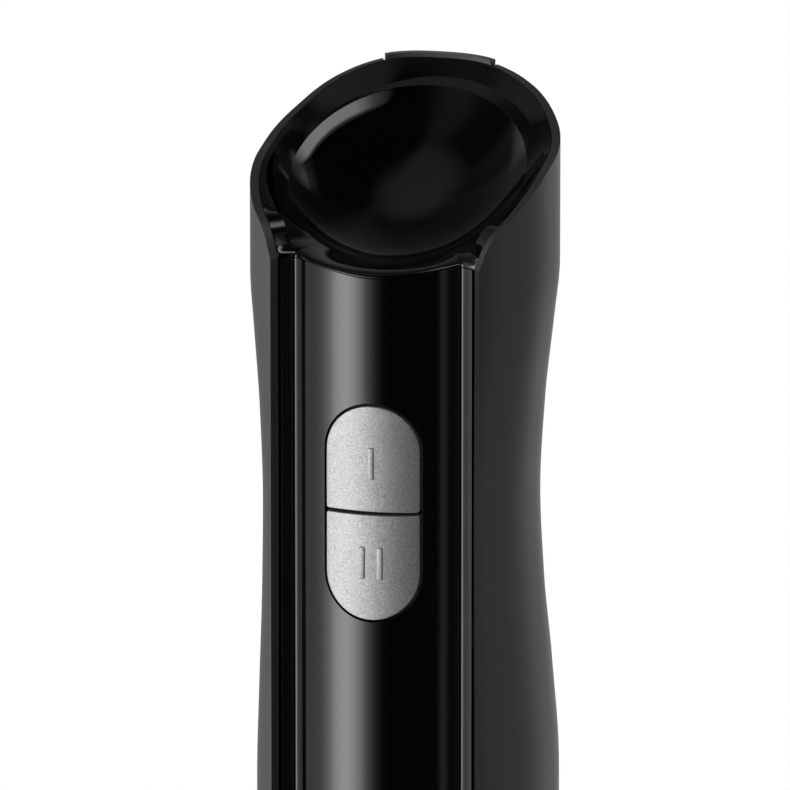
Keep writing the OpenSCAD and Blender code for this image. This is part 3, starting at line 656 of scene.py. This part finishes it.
def profile(p):
    """Points from the outline to the middle of the dish, for one outline point p."""
    a = atan2((p.y - DISH_YC) / DISH_B, p.x / DISH_A)
    q = bowl_point(a, 1, 0)
    back = ease((sin(a) + 0.05) / 0.75)
    left = ease((0.1 - cos(a)) / 0.65)
    brow = ease((-22.5 - p.y) / 5.5)
    bevel_at = lerp(BEVEL_SHUT, BEVEL_OPEN, back * (1 - 0.75 * left))
    land = LAND_WIDTH * left * ease((sin(a) + 0.12) / 0.4)

    def at(s, drop=0.0):
        d = height_share(s, back, brow, bevel_at)
        return Vector((lerp(p.x, q.x, s), lerp(p.y, q.y, s), lerp(p.z, q.z, d) - drop))

    f = (p.y - SLIT_START) / (SLIT_END - SLIT_START)
    inside = 0 < f < 1 and abs(p.x) > 15
    swell = sin(pi * f) ** 0.8 if inside else 0.0
    centre = lerp(0.23, 0.45, f) if inside else 0.3
    s0, s1 = centre - SLIT_WIDTH * swell, centre + SLIT_WIDTH * swell
    deep = SLIT_DEPTH * min(1.0, swell * 2.2)
    shelf = deep * (SLIT_SHELF if f > 0.45 else 1.0)
    points = [at(s) for s in EDGE_STEPS]
    points += [at(lerp(EDGE_STEPS[-1], s0, k / 5)) for k in range(1, 6)]
    points += [at(s0 + 0.01 * swell, shelf), at(lerp(s0, s1, 0.5), shelf + 0.25 * deep * swell)]
    points += [at(lerp(s0, s1, 0.56), deep), at(s1 - 0.01 * swell, deep)]
    tight = min(0.016, (1 - bevel_at) / 3)
    points += [at(lerp(s1, bevel_at - tight, k / 8)) for k in range(0, 9)] + [at(bevel_at)]
    points += [at(lerp(bevel_at + tight, 1 - tight, k / 4)) for k in range(5)] + [at(1)]
    points += [bowl_point(a, 1 - 0.004 - (land + 0.004) * k / 3, land) for k in range(4)]
    return points + [bowl_point(a, (1 - land) * f, land) for f in BOWL_STEPS]


def under_profile(p, top):
    """The hidden underside, under seven points of the top, drawn in towards the strip."""
    brow = ease((-20 - p.y) / 6)
    points = []
    for k, share in ((0, 0.0), (4, 0.5), (16, 1), (24, 1), (28, 1), (37, 1), (len(top) - 1, 1)):
        s = lerp(0.985, 0.9 if k < 16 else 0.93, brow)
        drop = 2.2 * lerp(1, share, brow)
        points.append(Vector((top[k].x * s, top[k].y * s, top[k].z - drop)))
    return points


# %% Build the cap
sections = []
for p in outline:
    top = profile(p)
    sections.append(top + under_profile(p, top)[::-1])
points, faces = skin(list(zip(*sections)), closed_along=True)
centre_row = len(top) - 1
faces = [f for f in faces if f[0] // len(outline) != centre_row]
stand_for(build("thumb_dish_cap", points, faces, edge=0.1, sharp=50), "top_cap")

# %% [markdown]
# ## The front strip
# The strip is a shallow tube segment with a flange at each side and a valley between them that
# catches a line of light. The opening for the two buttons is a stadium. A Boolean would leave
# large, badly shaded faces on the curve, so the grid is laid in two halves whose inner edge
# follows the opening.

# %% Build the front strip
PANEL_WALL = 2.2
SLOT_R = 10.85
SLOT_TOP = TOP - 64.3 - SLOT_R
SLOT_LOW = TOP - 112.7 + SLOT_R
JOINT_GAP = 0.2


def strip_heights():
    """Rows from the foot up: a height, and the share of the way from it to the joint."""
    turns = [pi / 2 * i / 16 for i in range(1, 17)]
    start, bottom, top = low("front_panel").z, SLOT_LOW - SLOT_R, SLOT_TOP + SLOT_R
    heights = [lerp(start, bottom, i / 30) for i in range(31)]
    heights += [SLOT_LOW - SLOT_R * cos(a) for a in turns]
    heights += [lerp(SLOT_LOW, SLOT_TOP, i / 8) for i in range(1, 9)]
    heights += [SLOT_TOP + SLOT_R * sin(a) for a in turns]
    return [(z, 0.0) for z in heights] + [(top, i / 16) for i in range(1, 17)]


def slot_x(z):
    """Half width of the opening at height z."""
    over = max(0.0, z - SLOT_TOP, SLOT_LOW - z)
    return 0.0 if over >= SLOT_R else sqrt(SLOT_R ** 2 - over ** 2)


def strip_row(z, x_in, lift, wall):
    """Right half of one row, from the flange's edge to the opening or the middle."""
    arc = [lerp(FACE_EDGE, asin(x_in / PANEL_R), k / 26) for k in range(1, 27)]
    side = [lerp(FLANGE, right_valley[0], k / 4) for k in range(4)] + right_valley
    if wall == 0:
        plan = side + [on_strip(a) for a in arc]
    else:
        r = PANEL_R - wall
        edge_in = FLANGE + Vector((-0.2, wall))
        last = len(side) - 1
        plan = [lerp(edge_in, on_strip(FACE_EDGE, r), k / last) for k in range(last + 1)]
        plan += [Vector((x, PANEL_YC - sqrt(r * r - x * x)))
                 for x in (PANEL_R * sin(a) for a in arc)]
    return [Vector((p.x, p.y, lerp(z, TOP - joint_t(p.x) - JOINT_GAP, lift))) for p in plan]


strip_points, strip_faces = [], []
heights = strip_heights()
opened = [slot_x(z) if lift == 0 else 0.0 for z, lift in heights]
for side in (1, -1):
    first = len(strip_points)
    for wall in (0, PANEL_WALL):
        for (z, lift), x_in in zip(heights, opened):
            row = strip_row(z, x_in, lift, wall)
            strip_points += [Vector((side * p.x, p.y, p.z)) for p in row]
    for face in wall_faces(len(heights), len(row), opened):
        strip_faces.append(tuple(first + v for v in face[::side]))
stand_for(build("front_strip", strip_points, strip_faces, edge=0.16, sharp=40), "front_panel")

# %% [markdown]
# ## The speed buttons
# Two buttons share the opening, split by a straight gap. Each is a shell: a painted face that
# follows the strip's curve, a rounded shoulder, a skirt, a flange that stops it falling out and
# a stem behind. Each row is the outline drawn in by a small distance and sunk by a small depth,
# so the shoulder is a true radius.

# %% Rings of a button
BUTTON_GAP = 0.55
BUTTON_WALL = 0.9
BUTTON_THICK = 1.7
SHOULDER = 0.24
FLANGE_REACH, FLANGE_THICK = 1.5, 1.4
FACE_R = PANEL_R + 0.3
SPLIT_Z = (SLOT_TOP + SLOT_LOW) / 2
SPLIT_GAP = 0.35


def button_outline(inset, upper):
    """Outline of a button in the plane of x and height, drawn in by inset."""
    r = SLOT_R - BUTTON_GAP - inset
    flat = SPLIT_GAP + max(inset, 0)
    reach = SLOT_TOP - SPLIT_Z
    nook = max(0.3, 0.6 - inset)
    right = [(r - nook + nook * cos(a), flat + nook + nook * sin(a))
             for a in [pi * (1.5 + k / 12) for k in range(7)]]
    right += [(r, lerp(flat + nook, reach, k / 6)) for k in range(1, 6)]
    pts = right + [(r * cos(pi * k / 40), reach + r * sin(pi * k / 40)) for k in range(41)]
    pts += [(-x, z) for x, z in right[::-1]]
    pts += [(lerp(nook - r, r - nook, k / 12), flat) for k in range(1, 12)]
    sign = 1 if upper else -1
    return [(x, SPLIT_Z + sign * z) for x, z in pts]


def button_rows(upper):
    """Rows from the middle of the hollow back, over the flange, to the middle of the face."""
    centre_z = SLOT_TOP if upper else SLOT_LOW
    flange = FACE_R - (PANEL_R - PANEL_WALL - 0.3)

    def row(inset, sunk, f=1.0):
        return [Vector((x * f, PANEL_YC - sqrt(FACE_R ** 2 - (x * f) ** 2) + sunk,
                        lerp(centre_z, z, f))) for x, z in button_outline(inset, upper)]

    rows = [row(BUTTON_WALL, BUTTON_THICK, f) for f in (0.03, 0.5, 1)]
    rows += [row(BUTTON_WALL, flange + FLANGE_THICK), row(-FLANGE_REACH, flange + FLANGE_THICK),
             row(-FLANGE_REACH, flange), row(0.0, flange - 0.2)]
    rows += [row(SHOULDER * (1 - cos(a)), SHOULDER * (1 - sin(a)))
             for a in [pi / 2 * k / 6 for k in range(7)]]
    return rows + [row(SHOULDER, 0, f) for f in (0.96, 0.88, 0.75, 0.6, 0.45, 0.3, 0.15, 0.03)]


print("a button's outline has", len(button_outline(0, True)), "points")


# %% [markdown]
# The marks are one bar and two bars, raised a fifth of a millimetre. A Geometry Nodes tree lays
# copies of one bar along a line, makes them real and gives them their material. It lays the
# ribs of the release buttons too.

# %% The tree that repeats a piece along a line
def run_tree(obj, tree, values):
    """Make an object's mesh with a Geometry Nodes tree, its inputs set by identifier."""
    modifier = obj.modifiers.new(tree.name, "NODES")
    modifier.node_group = tree
    for item in tree.interface.items_tree:
        if item.item_type == "SOCKET" and item.in_out == "INPUT" and item.name in values:
            modifier[item.identifier] = values[item.name]
    return settle(obj)


def shape_group(name, **takes):
    return new_group(name, "GeometryNodeTree", dict(takes, Finish="Material"),
                     dict(Geometry="Geometry"))


def close_tree(tree, shape, take, give):
    """End a tree with real geometry that carries its finish."""
    real = add(tree, "GeometryNodeRealizeInstances", {"Geometry": shape})
    feed(give, {"Geometry": add(tree, "GeometryNodeSetMaterial",
                                {"Geometry": real, "Material": take["Finish"]})})


row_tree, take, give = shape_group("Row of pieces", Piece="Geometry", Count="Int",
                                   Start="Vector", Step="Vector")
line = add(row_tree, "GeometryNodeMeshLine",
           {"Count": take["Count"], "Start Location": take["Start"], "Offset": take["Step"]},
           mode="OFFSET")
copies = add(row_tree, "GeometryNodeInstanceOnPoints", {"Points": line, "Instance": take["Piece"]})
close_tree(row_tree, copies, take, give)


def row_of(obj, count, start, step, slot):
    """Repeat an object's mesh along a line, in millimetres."""
    run_tree(obj, row_tree, {"Count": count, "Start": Vector(start) * MM,
                             "Step": Vector(step) * MM, "Finish": finishes[slot]})
    print(obj.name, "repeated", count, "times")


# %% Build the speed buttons
MARK_REACH = 11.0
MARK_RAISE = 0.22
MARK_APART = 3.9
STEM_BACK, STEM_FRONT = -26.6, -32.2


def bar(name, width, height, depth, lead):
    """A bar with a rounded top, about the origin in x and z, facing -Y."""
    rows = []
    for inset, sunk in ((0, depth), (0, lead), (lead * 0.4, lead * 0.25), (lead * 1.1, 0)):
        rows.append([Vector((x, sunk, z))
                     for x, z in rounded_box(width / 2 - inset, height / 2 - inset, 0.35, 3)])
    return closed_rings(name, rows)


def speed_button(name, node, plunger_node, upper, marks):
    first_x = -MARK_APART / 2 * (marks - 1)
    front_y = PANEL_YC - sqrt((FACE_R + MARK_RAISE) ** 2 - first_x ** 2)
    mark = bar("mark", 1.4, 7.2, 1.0, MARK_RAISE)
    row_of(mark, marks, (first_x, front_y, SPLIT_Z + (MARK_REACH if upper else -MARK_REACH)),
           (MARK_APART, 0, 0), node_slot[node])
    plate = closed_rings(name + "_plate", button_rows(upper))
    stem = rod(name + "_stem", 2.4, STEM_FRONT, STEM_BACK, middle(plunger_node).z)
    stand_for(join(name, plate, mark, stem), node)


speed_button("speed_button_upper", "speed_button_one", "switch_plunger_one", True, 1)
speed_button("speed_button_lower", "speed_button_two", "switch_plunger_two", False, 2)

# %% [markdown]
# ## Turned pieces
# The hub, the tube, the bell, the bright ring and the gland are each a closed outline swept
# round an axis, as on a lathe, so one Geometry Nodes tree makes them all from an outline drawn
# as loose edges.

# %% The tree that turns an outline
turn_tree, take, give = shape_group("Turned piece", Outline="Geometry", Sides="Int",
                                    Reach="Float")
drawn = add(turn_tree, "GeometryNodeMeshToCurve", {"Mesh": take["Outline"]})
round_path = add(turn_tree, "GeometryNodeCurvePrimitiveCircle",
                 {"Resolution": take["Sides"], "Radius": take["Reach"]})
close_tree(turn_tree, add(turn_tree, "GeometryNodeCurveToMesh",
                          {"Curve": round_path, "Profile Curve": drawn}), take, give)
REACH = 10.0


def turned(name, outline, slot, edge=0.25, sides=128):
    """A piece turned about Z from a closed outline of (radius, height) in millimetres."""
    mesh = bpy.data.meshes.new(name)
    count = len(outline)
    mesh.from_pydata([Vector((r - REACH, -z, 0)) * MM for r, z in outline],
                     [(i, (i + 1) % count) for i in range(count)], [])
    obj = run_tree(link(name, mesh), turn_tree,
                   {"Sides": sides, "Reach": REACH * MM, "Finish": finishes[slot]})
    tidy(obj.data)
    if edge:
        round_edges(obj, edge, 30)
    print(name, len(obj.data.polygons), "faces")
    return obj


def sleeve(r0, r1, z0, z1):
    """Outline of a plain ring between two radii and two heights."""
    return [(r0, z0), (r1, z0), (r1, z1), (r0, z1)]


# %% [markdown]
# The bell swells from the tube to the rim. Its four notches let food in when it stands on the
# bottom of a bowl. They are cut with Booleans and rounded as pressed steel is.

# %% Build the bell and the tube
BELL = [(0, 34), (11, 34), (19, 32.6), (27, 28.6), (34, 23.4), (41, 19.4), (48, 17.8),
        (58, 17.2)]
HUB = [(112, 17.6), (120, 18), (130, 19.6), (140, 23), (150, 26.6), (158, 28.3),
       (166.5, 28.9)]
TUBE_R, TUBE_WALL = 16.0, 1.0
FIT = 0.02
BELL_WALL, HUB_WALL = 1.6, 2.4
NOTCH_R, NOTCH_Z = 7.0, 3.0


def side_line(rows, n, offset=0.0):
    """A smooth side through (height, radius) rows, as n + 1 points (radius, height)."""
    curve = smooth_curve(rows)
    heights = [lerp(rows[0][0], rows[-1][0], i / n) for i in range(n + 1)]
    return [(curve(z) + offset, z) for z in heights]


def notch(turn):
    """Cutter for two opposite notches: a slot with a round top."""
    ring = [(-NOTCH_R, -2.0), (NOTCH_R, -2.0)]
    ring += [(NOTCH_R * cos(pi * k / 24), NOTCH_Z + NOTCH_R * sin(pi * k / 24))
             for k in range(25)]
    return closed_rings("notch", [[turn @ Vector((x, y, z)) for y, z in ring]
                                  for x in (-40, 40)])


bell_inner = [(TUBE_R + FIT if z > 45 else max(r, TUBE_R - TUBE_WALL), z)
              for r, z in side_line(BELL, 48, -BELL_WALL)]
bell = turned("bell_skirt", side_line(BELL, 48) + bell_inner[::-1], "steel", edge=0)
cut(bell, notch(Matrix.Identity(3)), notch(Matrix.Rotation(pi / 2, 3, "Z")))
round_edges(bell, 0.3, 40)
stand_for(bell, "bell")
tube_line = sleeve(TUBE_R - TUBE_WALL, TUBE_R, low("shaft_tube").z, high("shaft_tube").z)
stand_for(turned("foot_tube", tube_line, "steel"), "shaft_tube")

# %% Build the hub and the bright ring
TRIM_BORE = 26.4
hub_line = side_line(HUB, 44)
hub_inner = [(max(r - HUB_WALL, TUBE_R + FIT), z) for r, z in hub_line]
stand_for(turned("foot_hub_cover", hub_line + hub_inner[::-1], "gloss_black", edge=0.35),
          "foot_hub")
trim_low, trim_high = low("collar_trim"), high("collar_trim")
trim_line = sleeve(TRIM_BORE, trim_high.x, trim_low.z, trim_high.z)
stand_for(turned("bright_ring", trim_line, "bright_trim", edge=0.5), "collar_trim")

# %% [markdown]
# ## The gland
# The supply lead leaves through a rubber gland, and isn't part of this model. Three grooves let
# a gland bend. It is laid on its side by turning its mesh, never its object.

# %% Build the gland
GLAND = [(3.6, 0), (7.2, 0), (7.2, 5.6), (5.1, 5.6), (5.1, 9.4), (7, 9.4), (7, 10.6),
         (6.2, 10.8), (6.2, 11.5), (6.7, 11.7), (6.7, 12.5), (5.9, 12.7), (5.9, 13.4),
         (6.3, 13.6), (6.1, 15.0), (5.6, 15.5), (3.6, 15.5)]
gland = turned("lead_gland", GLAND, "black_rubber", edge=0.15, sides=72)
place(gland.data, (0, low("cord_gland").y, GLAND_Z), -pi / 2, "X")
stand_for(gland, "cord_gland")

# %% [markdown]
# ## The collar
# The collar changes from the grip's cut-off square above to a circle below, with a window at
# each side for a release button.

# %% Build the collar
COLLAR_R, COLLAR_WALL = 29.0, 2.2
RELEASE_Z = middle("release_button_right").z
collar_low, collar_high = low("collar_ring").z, high("collar_ring").z
loop = [grip_point(i / 150, SHELL_END, 0) for i in range(151)]
loop += [on_strip(radians(1.2 * i - 36)) for i in range(61)]


def collar_rows(inset):
    rows = []
    for j in range(31):
        row = []
        for p in loop:
            q = p * lerp(1, COLLAR_R / p.length, ease(j / 30))
            s = (q.length - inset) / q.length
            row.append(Vector((q.x * s, q.y * s, lerp(collar_high, collar_low, j / 30))))
        rows.append(row)
    return rows


def pad(name, x0, x1, width, height, corner, far_r=None):
    """A rounded block along X at the release height; its far face may follow a circle."""
    ring = rounded_box(width / 2, height / 2, corner, 8)
    rows = [[Vector((x0, y * f, RELEASE_Z + z * f)) for y, z in ring] for f in (0.05, 1)]
    for f in (1, 0.9, 0.75, 0.55, 0.3, 0.05):
        rows.append([Vector((sqrt(far_r ** 2 - (y * f) ** 2) if far_r else x1, y * f,
                             RELEASE_Z + z * f)) for y, z in ring])
    return closed_rings(name, rows)


collar = build("collar", *skin(collar_rows(0) + collar_rows(COLLAR_WALL)[::-1],
                               closed_along=True))
cut(collar, pad("window", -40, 40, 18.6, 13.6, 3.2))
round_edges(collar, 0.3, 38)
stand_for(collar, "collar_ring")

# %% [markdown]
# ## The release buttons
# Pressed together they free the foot. Each has a curved face with five ribs for grip, a flange
# behind the collar's wall and a tongue.

# %% Build the release buttons
RIB_R = 30.6
RIBS, RIB_STEP = 5, 2.6


def release_button(name, node, side):
    rib = bar(name + "_ribs", 1.0, 8.6, 1.2, 0.4)
    place(rib.data, (0, 0, 0), pi / 2, "Z")
    row_of(rib, RIBS, (0, -RIB_STEP * (RIBS - 1) / 2, 0), (0, RIB_STEP, 0), node_slot[node])
    for v in rib.data.vertices:
        v.co.x += (sqrt(RIB_R ** 2 - (v.co.y / MM) ** 2) - 0.05) * MM
        v.co.z += RELEASE_Z * MM
    face = pad(name + "_pad", 25.2, None, 18, 13, 3, far_r=RIB_R - 0.45)
    flange = pad(name + "_flange", 24.9, 25.7, 12, 15, 1)
    tongue = pad(name + "_tongue", low("release_button_right").x, 25.4, 4.8, 4.8, 0.6)
    whole = join(name, face, rib, flange, tongue)
    if side < 0:
        place(whole.data, (0, 0, 0), pi, "Z")
    round_edges(whole, 0.35, 50, 2)
    stand_for(whole, node)


release_button("release_pad_right", "release_button_right", 1)
release_button("release_pad_left", "release_button_left", -1)

# %% [markdown]
# ## The blade
# The blade is a hub and two wings, one bent up and one bent down, each ground to an edge on its
# leading side. A wing is lofted in sections from hub to tip, so the bevel of the grinding is
# real.

# %% Build the blade and its nut
BLADE_Z = 12.0
SHEET, GROUND, GRIND_SHARE = 1.2, 0.22, 0.32
# Reach, place of the leading edge, place of the trailing edge
WING = [(4.4, -4.6, 4.5), (9, -4.8, 4.4), (13, -4.2, 4.0), (17, -3.2, 3.4), (19.6, -1.4, 3.1),
        (20.7, 0.3, 2.2)]
# Height, radius, and whether the section is a hexagon
NUT = [(1.0, 3.05, 0), (0, 2.6, 0), (0.2, 2.75, 0), (1.5, 4.1, 0), (1.55, 4.45, 1),
       (2.0, 4.8, 1), (5.1, 4.8, 1), (5.5, 4.5, 1), (5.5, 3.05, 0)]


def wing(name, lift, start, turn):
    """A wing between leading and trailing edges, thin at its ground leading edge."""
    bend = Matrix.Rotation(radians(-lift), 3, "Y")
    spin = Matrix.Rotation(radians(turn), 3, "Z")
    rows = []
    for x, lead, trail in WING:
        section = [(lead, 0), (trail, 0), (trail, SHEET), (lerp(lead, trail, GRIND_SHARE), SHEET),
                   (lead, GROUND)]
        rows.append([spin @ (bend @ Vector((x, y, z)) + Vector((0, 0, start)))
                     for y, z in section])
    return closed_rings(name, rows)


blade = join("cutting_blade",
             turned("blade_hub", sleeve(3, 6, BLADE_Z, BLADE_Z + 2.4), "blade_steel", edge=0.2),
             wing("wing_up", 9, BLADE_Z + 0.3, 0), wing("wing_down", -7, BLADE_Z + 0.9, 180))
round_edges(blade, 0.08, 40, 2)
stand_for(blade, "blade")
nut_z = low("blade_nut").z
nut_rows = []
for z, r, hexagon in NUT:
    ring = []
    for k in range(48):
        a = 2 * pi * k / 48
        reach = r * (cos(pi / 6) / cos(a % (pi / 3) - pi / 6) if hexagon else 1)
        ring.append(Vector((reach * cos(a), reach * sin(a), nut_z + z)))
    nut_rows.append(ring)
stand_for(build("dome_nut", *skin(nut_rows, closed_along=True), edge=0.12, sharp=28),
          "blade_nut")

# %% [markdown]
# ## Springs
# In the imported model each spring is the tube that it fills. Here a Geometry Nodes tree sweeps a
# round wire along a spiral. A pressed spring gets shorter. The latch is a hoop of wire, open at one
# side.

# %% The tree that winds a spring
coil_tree, take, give = shape_group("Wound spring", Geometry="Geometry", Turns="Float",
                                    Radius="Float", Length="Float", Wire="Float")
spiral = add(coil_tree, "GeometryNodeCurveSpiral",
             {"Resolution": 20, "Rotations": take["Turns"], "Start Radius": take["Radius"],
              "End Radius": take["Radius"], "Height": take["Length"]})
wire = add(coil_tree, "GeometryNodeCurvePrimitiveCircle",
           {"Resolution": 10, "Radius": take["Wire"]})
close_tree(coil_tree, add(coil_tree, "GeometryNodeCurveToMesh",
                          {"Curve": spiral, "Profile Curve": wire, "Fill Caps": True}),
           take, give)


def spring(name, turns, inner, outer, length):
    """A helical spring along +Z from the origin, inside its tube, in millimetres."""
    wire = (outer - inner) / 2
    obj = link(name, bpy.data.meshes.new(name))
    run_tree(obj, coil_tree, {
        "Turns": turns, "Radius": (inner + wire) * MM, "Length": (length - 2 * wire) * MM,
        "Wire": wire * MM, "Finish": finishes["spring_steel"]})
    place(obj.data, (0, 0, wire), 0, "Z")
    tidy(obj.data, merge=0.001)
    return obj


# %% Build the springs
for which in ("one", "two"):
    node = "button_spring_" + which
    start, end, z = low(node).y, high(node).y, middle(node).z
    coil = spring("press_coil_" + which, 5, 2.9, 3.6, end - start)
    place(coil.data, (0, start, z), -pi / 2, "X")
    stand_for(coil, node)
    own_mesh(coil)
for side, hand in ((1, "right"), (-1, "left")):
    node = "release_spring_" + hand
    ends = low(node).x, high(node).x
    start = ends[0] if side > 0 else ends[1]
    coil = spring("release_coil_" + hand, 3.5, 3.6, 4.4, ends[1] - ends[0])
    place(coil.data, (start, 0, RELEASE_Z), side * pi / 2, "Y")
    stand_for(coil, node)
    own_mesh(coil)
latch_z = middle("latch_ring").z
wire_r = high("latch_ring").z - latch_z
hoop_r = high("latch_ring").y - wire_r
hoop = []
for i in range(97):
    turn = radians(15 + 330 * i / 96)
    hoop.append([Vector(((hoop_r + x) * cos(turn), (hoop_r + x) * sin(turn), latch_z + z))
                 for x, z in circle(wire_r, 12)])
latch = stand_for(closed_rings("latch_wire", hoop), "latch_ring")
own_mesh(latch)
brush_coils = []
for side in (1, -1):
    coil = spring("brush_coil", 6, 1.5, 2.2, 5.5)
    place(coil.data, (side * 17.9, 0, middle("brush_springs").z), side * pi / 2, "Y")
    brush_coils.append(coil)
stand_for(join("brush_coils", *brush_coils), "brush_springs")

# %% [markdown]
# ## Stage
# The object stands on a plain pale floor in a white room. Gloss black shows only its
# surroundings, so for reflections the world is a set of soft cards: a tall one at the left
# front that runs down the strip, a dimmer one at the left side, a thin one at the right front,
# white behind that lights the edges, and an arc overhead for the land and the bevel round the
# dish. `cards` and `arc_round` give brightness by degrees round the object, from the front to
# the right, and the other ramps give its share by degrees up.

# %% The room
scene = bpy.context.scene
scene.view_settings.view_transform = "Standard"
world = bpy.data.worlds.new("studio")
scene.world = world
world.use_nodes = True
room = world.node_tree
room.nodes.clear()
direction = add(room, "ShaderNodeTexCoord")
axes = add(room, "ShaderNodeSeparateXYZ", {0: direction.outputs["Generated"]})


def towards(round_deg, up_deg):
    """Direction by degrees round from the front to the right, and degrees up."""
    az, el = radians(round_deg), radians(up_deg)
    return Vector((sin(az) * cos(el), -cos(az) * cos(el), sin(el)))


def maths(operation, a, b=0.0):
    return add(room, "ShaderNodeMath", {0: a, 1: b}, operation=operation)


def ramp(value, low_end, high_end, stops):
    """A curve of card brightness over a value, as a colour ramp scaled by its peak."""
    peak = max(v for _, v in stops)
    share = add(room, "ShaderNodeMapRange",
                {"Value": value, "From Min": low_end, "From Max": high_end})
    node = add(room, "ShaderNodeValToRGB", {0: share})
    line = node.color_ramp.elements
    while len(line) > 1:
        line.remove(line[-1])
    for k, (x, v) in enumerate(stops):
        f = (x - low_end) / (high_end - low_end)
        spot = line[0] if k == 0 else line.new(f)
        spot.position = f
        spot.color = (v / peak, v / peak, v / peak, 1)
    return maths("MULTIPLY", node, peak)


ahead = maths("MULTIPLY", axes.outputs["Y"], -1.0)
azimuth = maths("MULTIPLY", maths("ARCTAN2", axes.outputs["X"], ahead), 180 / pi)
elevation = maths("MULTIPLY", maths("ARCSINE", axes.outputs["Z"]), 180 / pi)
cards = ramp(azimuth, -180, 180, [
    (-180, 2.0), (-155, 0.8), (-130, 0.6), (-112, 0.8), (-104, 1.8), (-92, 3.4), (-85, 3.0),
    (-81.5, 1.9), (-78, 0.72), (-70, 0.74), (-64, 0.92), (-58, 1.47), (-52, 2.65), (-46, 5.0),
    (-40, 6.4), (-35, 6.4), (-29.5, 5.1), (-24, 3.4), (-19, 1.42), (-14, 0.6), (-9, 0.16),
    (-4, 0.03), (2, 0.01), (40, 0.02), (45, 0.36), (50, 0.03), (80, 0.2), (100, 0.7), (140, 0.22),
    (158, 0.5), (170, 1.4), (180, 2.0)])
rise_ahead = ramp(elevation, -90, 90, [
    (-90, 0.1), (-55, 0.35), (-32, 0.9), (-24, 1.0), (20, 1.0), (28, 0.4), (36, 0.03), (90, 0.0)])
rise_behind = ramp(elevation, -90, 90, [
    (-90, 0.1), (-55, 0.35), (-32, 0.9), (2, 1.0), (10, 0.5), (20, 0.24), (50, 0.1), (90, 0.0)])
behind = ramp(maths("ABSOLUTE", azimuth), 0, 180, [(0, 0.0), (100, 0.0), (112, 1.0)])
rise = add(room, "ShaderNodeMix", {0: behind, 2: rise_ahead, 3: rise_behind})
standing = maths("MULTIPLY", cards, rise)

# %% The cards overhead
arc_round = ramp(azimuth, -180, 180, [
    (-180, 0.0), (5, 0.0), (20, 1.0), (34, 3.6), (70, 4.0), (95, 3.4), (112, 0.5), (125, 0.0)])
arc_up = ramp(elevation, 0, 90, [(0, 0.0), (42, 0.0), (46, 1.0), (55, 1.0), (59, 0.12), (66, 0.0)])
arc = maths("MULTIPLY", arc_round, arc_up)
OVERHEAD_SPREAD, OVERHEAD_LIGHT = 20, 0.22
near = add(room, "ShaderNodeVectorMath",
           {0: direction.outputs["Generated"], 1: towards(-80, 76)}, operation="DOT_PRODUCT")
overhead = add(room, "ShaderNodeMapRange",
               {"Value": near.outputs["Value"], "From Min": cos(radians(OVERHEAD_SPREAD)),
                "From Max": 1.0, "To Max": OVERHEAD_LIGHT}, interpolation_type="SMOOTHSTEP")
seen_in_gloss = maths("ADD", standing, maths("ADD", arc, overhead))

# %% What each kind of ray sees
ray = add(room, "ShaderNodeLightPath")
WHITE = (1, 1, 1, 1)
EVEN_LIGHT = 1.09
gloss = add(room, "ShaderNodeBackground", {"Color": WHITE, "Strength": seen_in_gloss})
even = add(room, "ShaderNodeBackground", {"Color": WHITE, "Strength": EVEN_LIGHT})
mix = add(room, "ShaderNodeMixShader", {0: ray.outputs["Is Glossy Ray"], 1: even, 2: gloss})
add(room, "ShaderNodeOutputWorld", {0: mix})
print("room:", len(room.nodes), "nodes")

# %% The floor
FLOOR_HALF = 40.0
corners = [(x, y, 0) for x, y in ((-1, -1), (1, -1), (1, 1), (-1, 1))]
floor_mesh = bpy.data.meshes.new("floor")
floor_mesh.from_pydata([Vector(p) * FLOOR_HALF for p in corners], [], [(0, 1, 2, 3)])
floor = link("floor", floor_mesh)
paper = bpy.data.materials.new("floor_paper")
paper.use_nodes = True
nodes = paper.node_tree.nodes
feed(nodes["Principled BSDF"], {"Base Color": (0.93, 0.93, 0.93, 1), "Roughness": 0.9,
                                "Specular IOR Level": 0.1})
from_below = add(paper.node_tree, "ShaderNodeNewGeometry").outputs["Backfacing"]
clear = add(paper.node_tree, "ShaderNodeBsdfTransparent")
one_sided = add(paper.node_tree, "ShaderNodeMixShader",
                {0: from_below, 1: nodes["Principled BSDF"], 2: clear})
feed(nodes["Material Output"], {0: one_sided})
floor_mesh.materials.append(paper)
floor.visible_glossy = False

# %% [markdown]
# ## Camera
# A long lens from the front right, a little above, looking at the upper half of the handle.

# %% The camera
AROUND, ABOVE = 14.5, 14.0
FRAME_WIDE = 0.171
SENSOR = 36.0
DISTANCE = 2.8
aim = Vector((-0.00314, -0.00081, 0.3216))
toward_camera = towards(AROUND, ABOVE)
lens = bpy.data.cameras.new("camera")
lens.sensor_width = SENSOR
lens.lens = SENSOR * DISTANCE / FRAME_WIDE
lens.clip_start = 0.05
lens.clip_end = 200.0
camera = link("camera", lens)
camera.location = aim + toward_camera * DISTANCE
camera.rotation_euler = (-toward_camera).to_track_quat("-Z", "Y").to_euler()
scene.camera = camera
print("camera at", [round(v, 3) for v in camera.location])
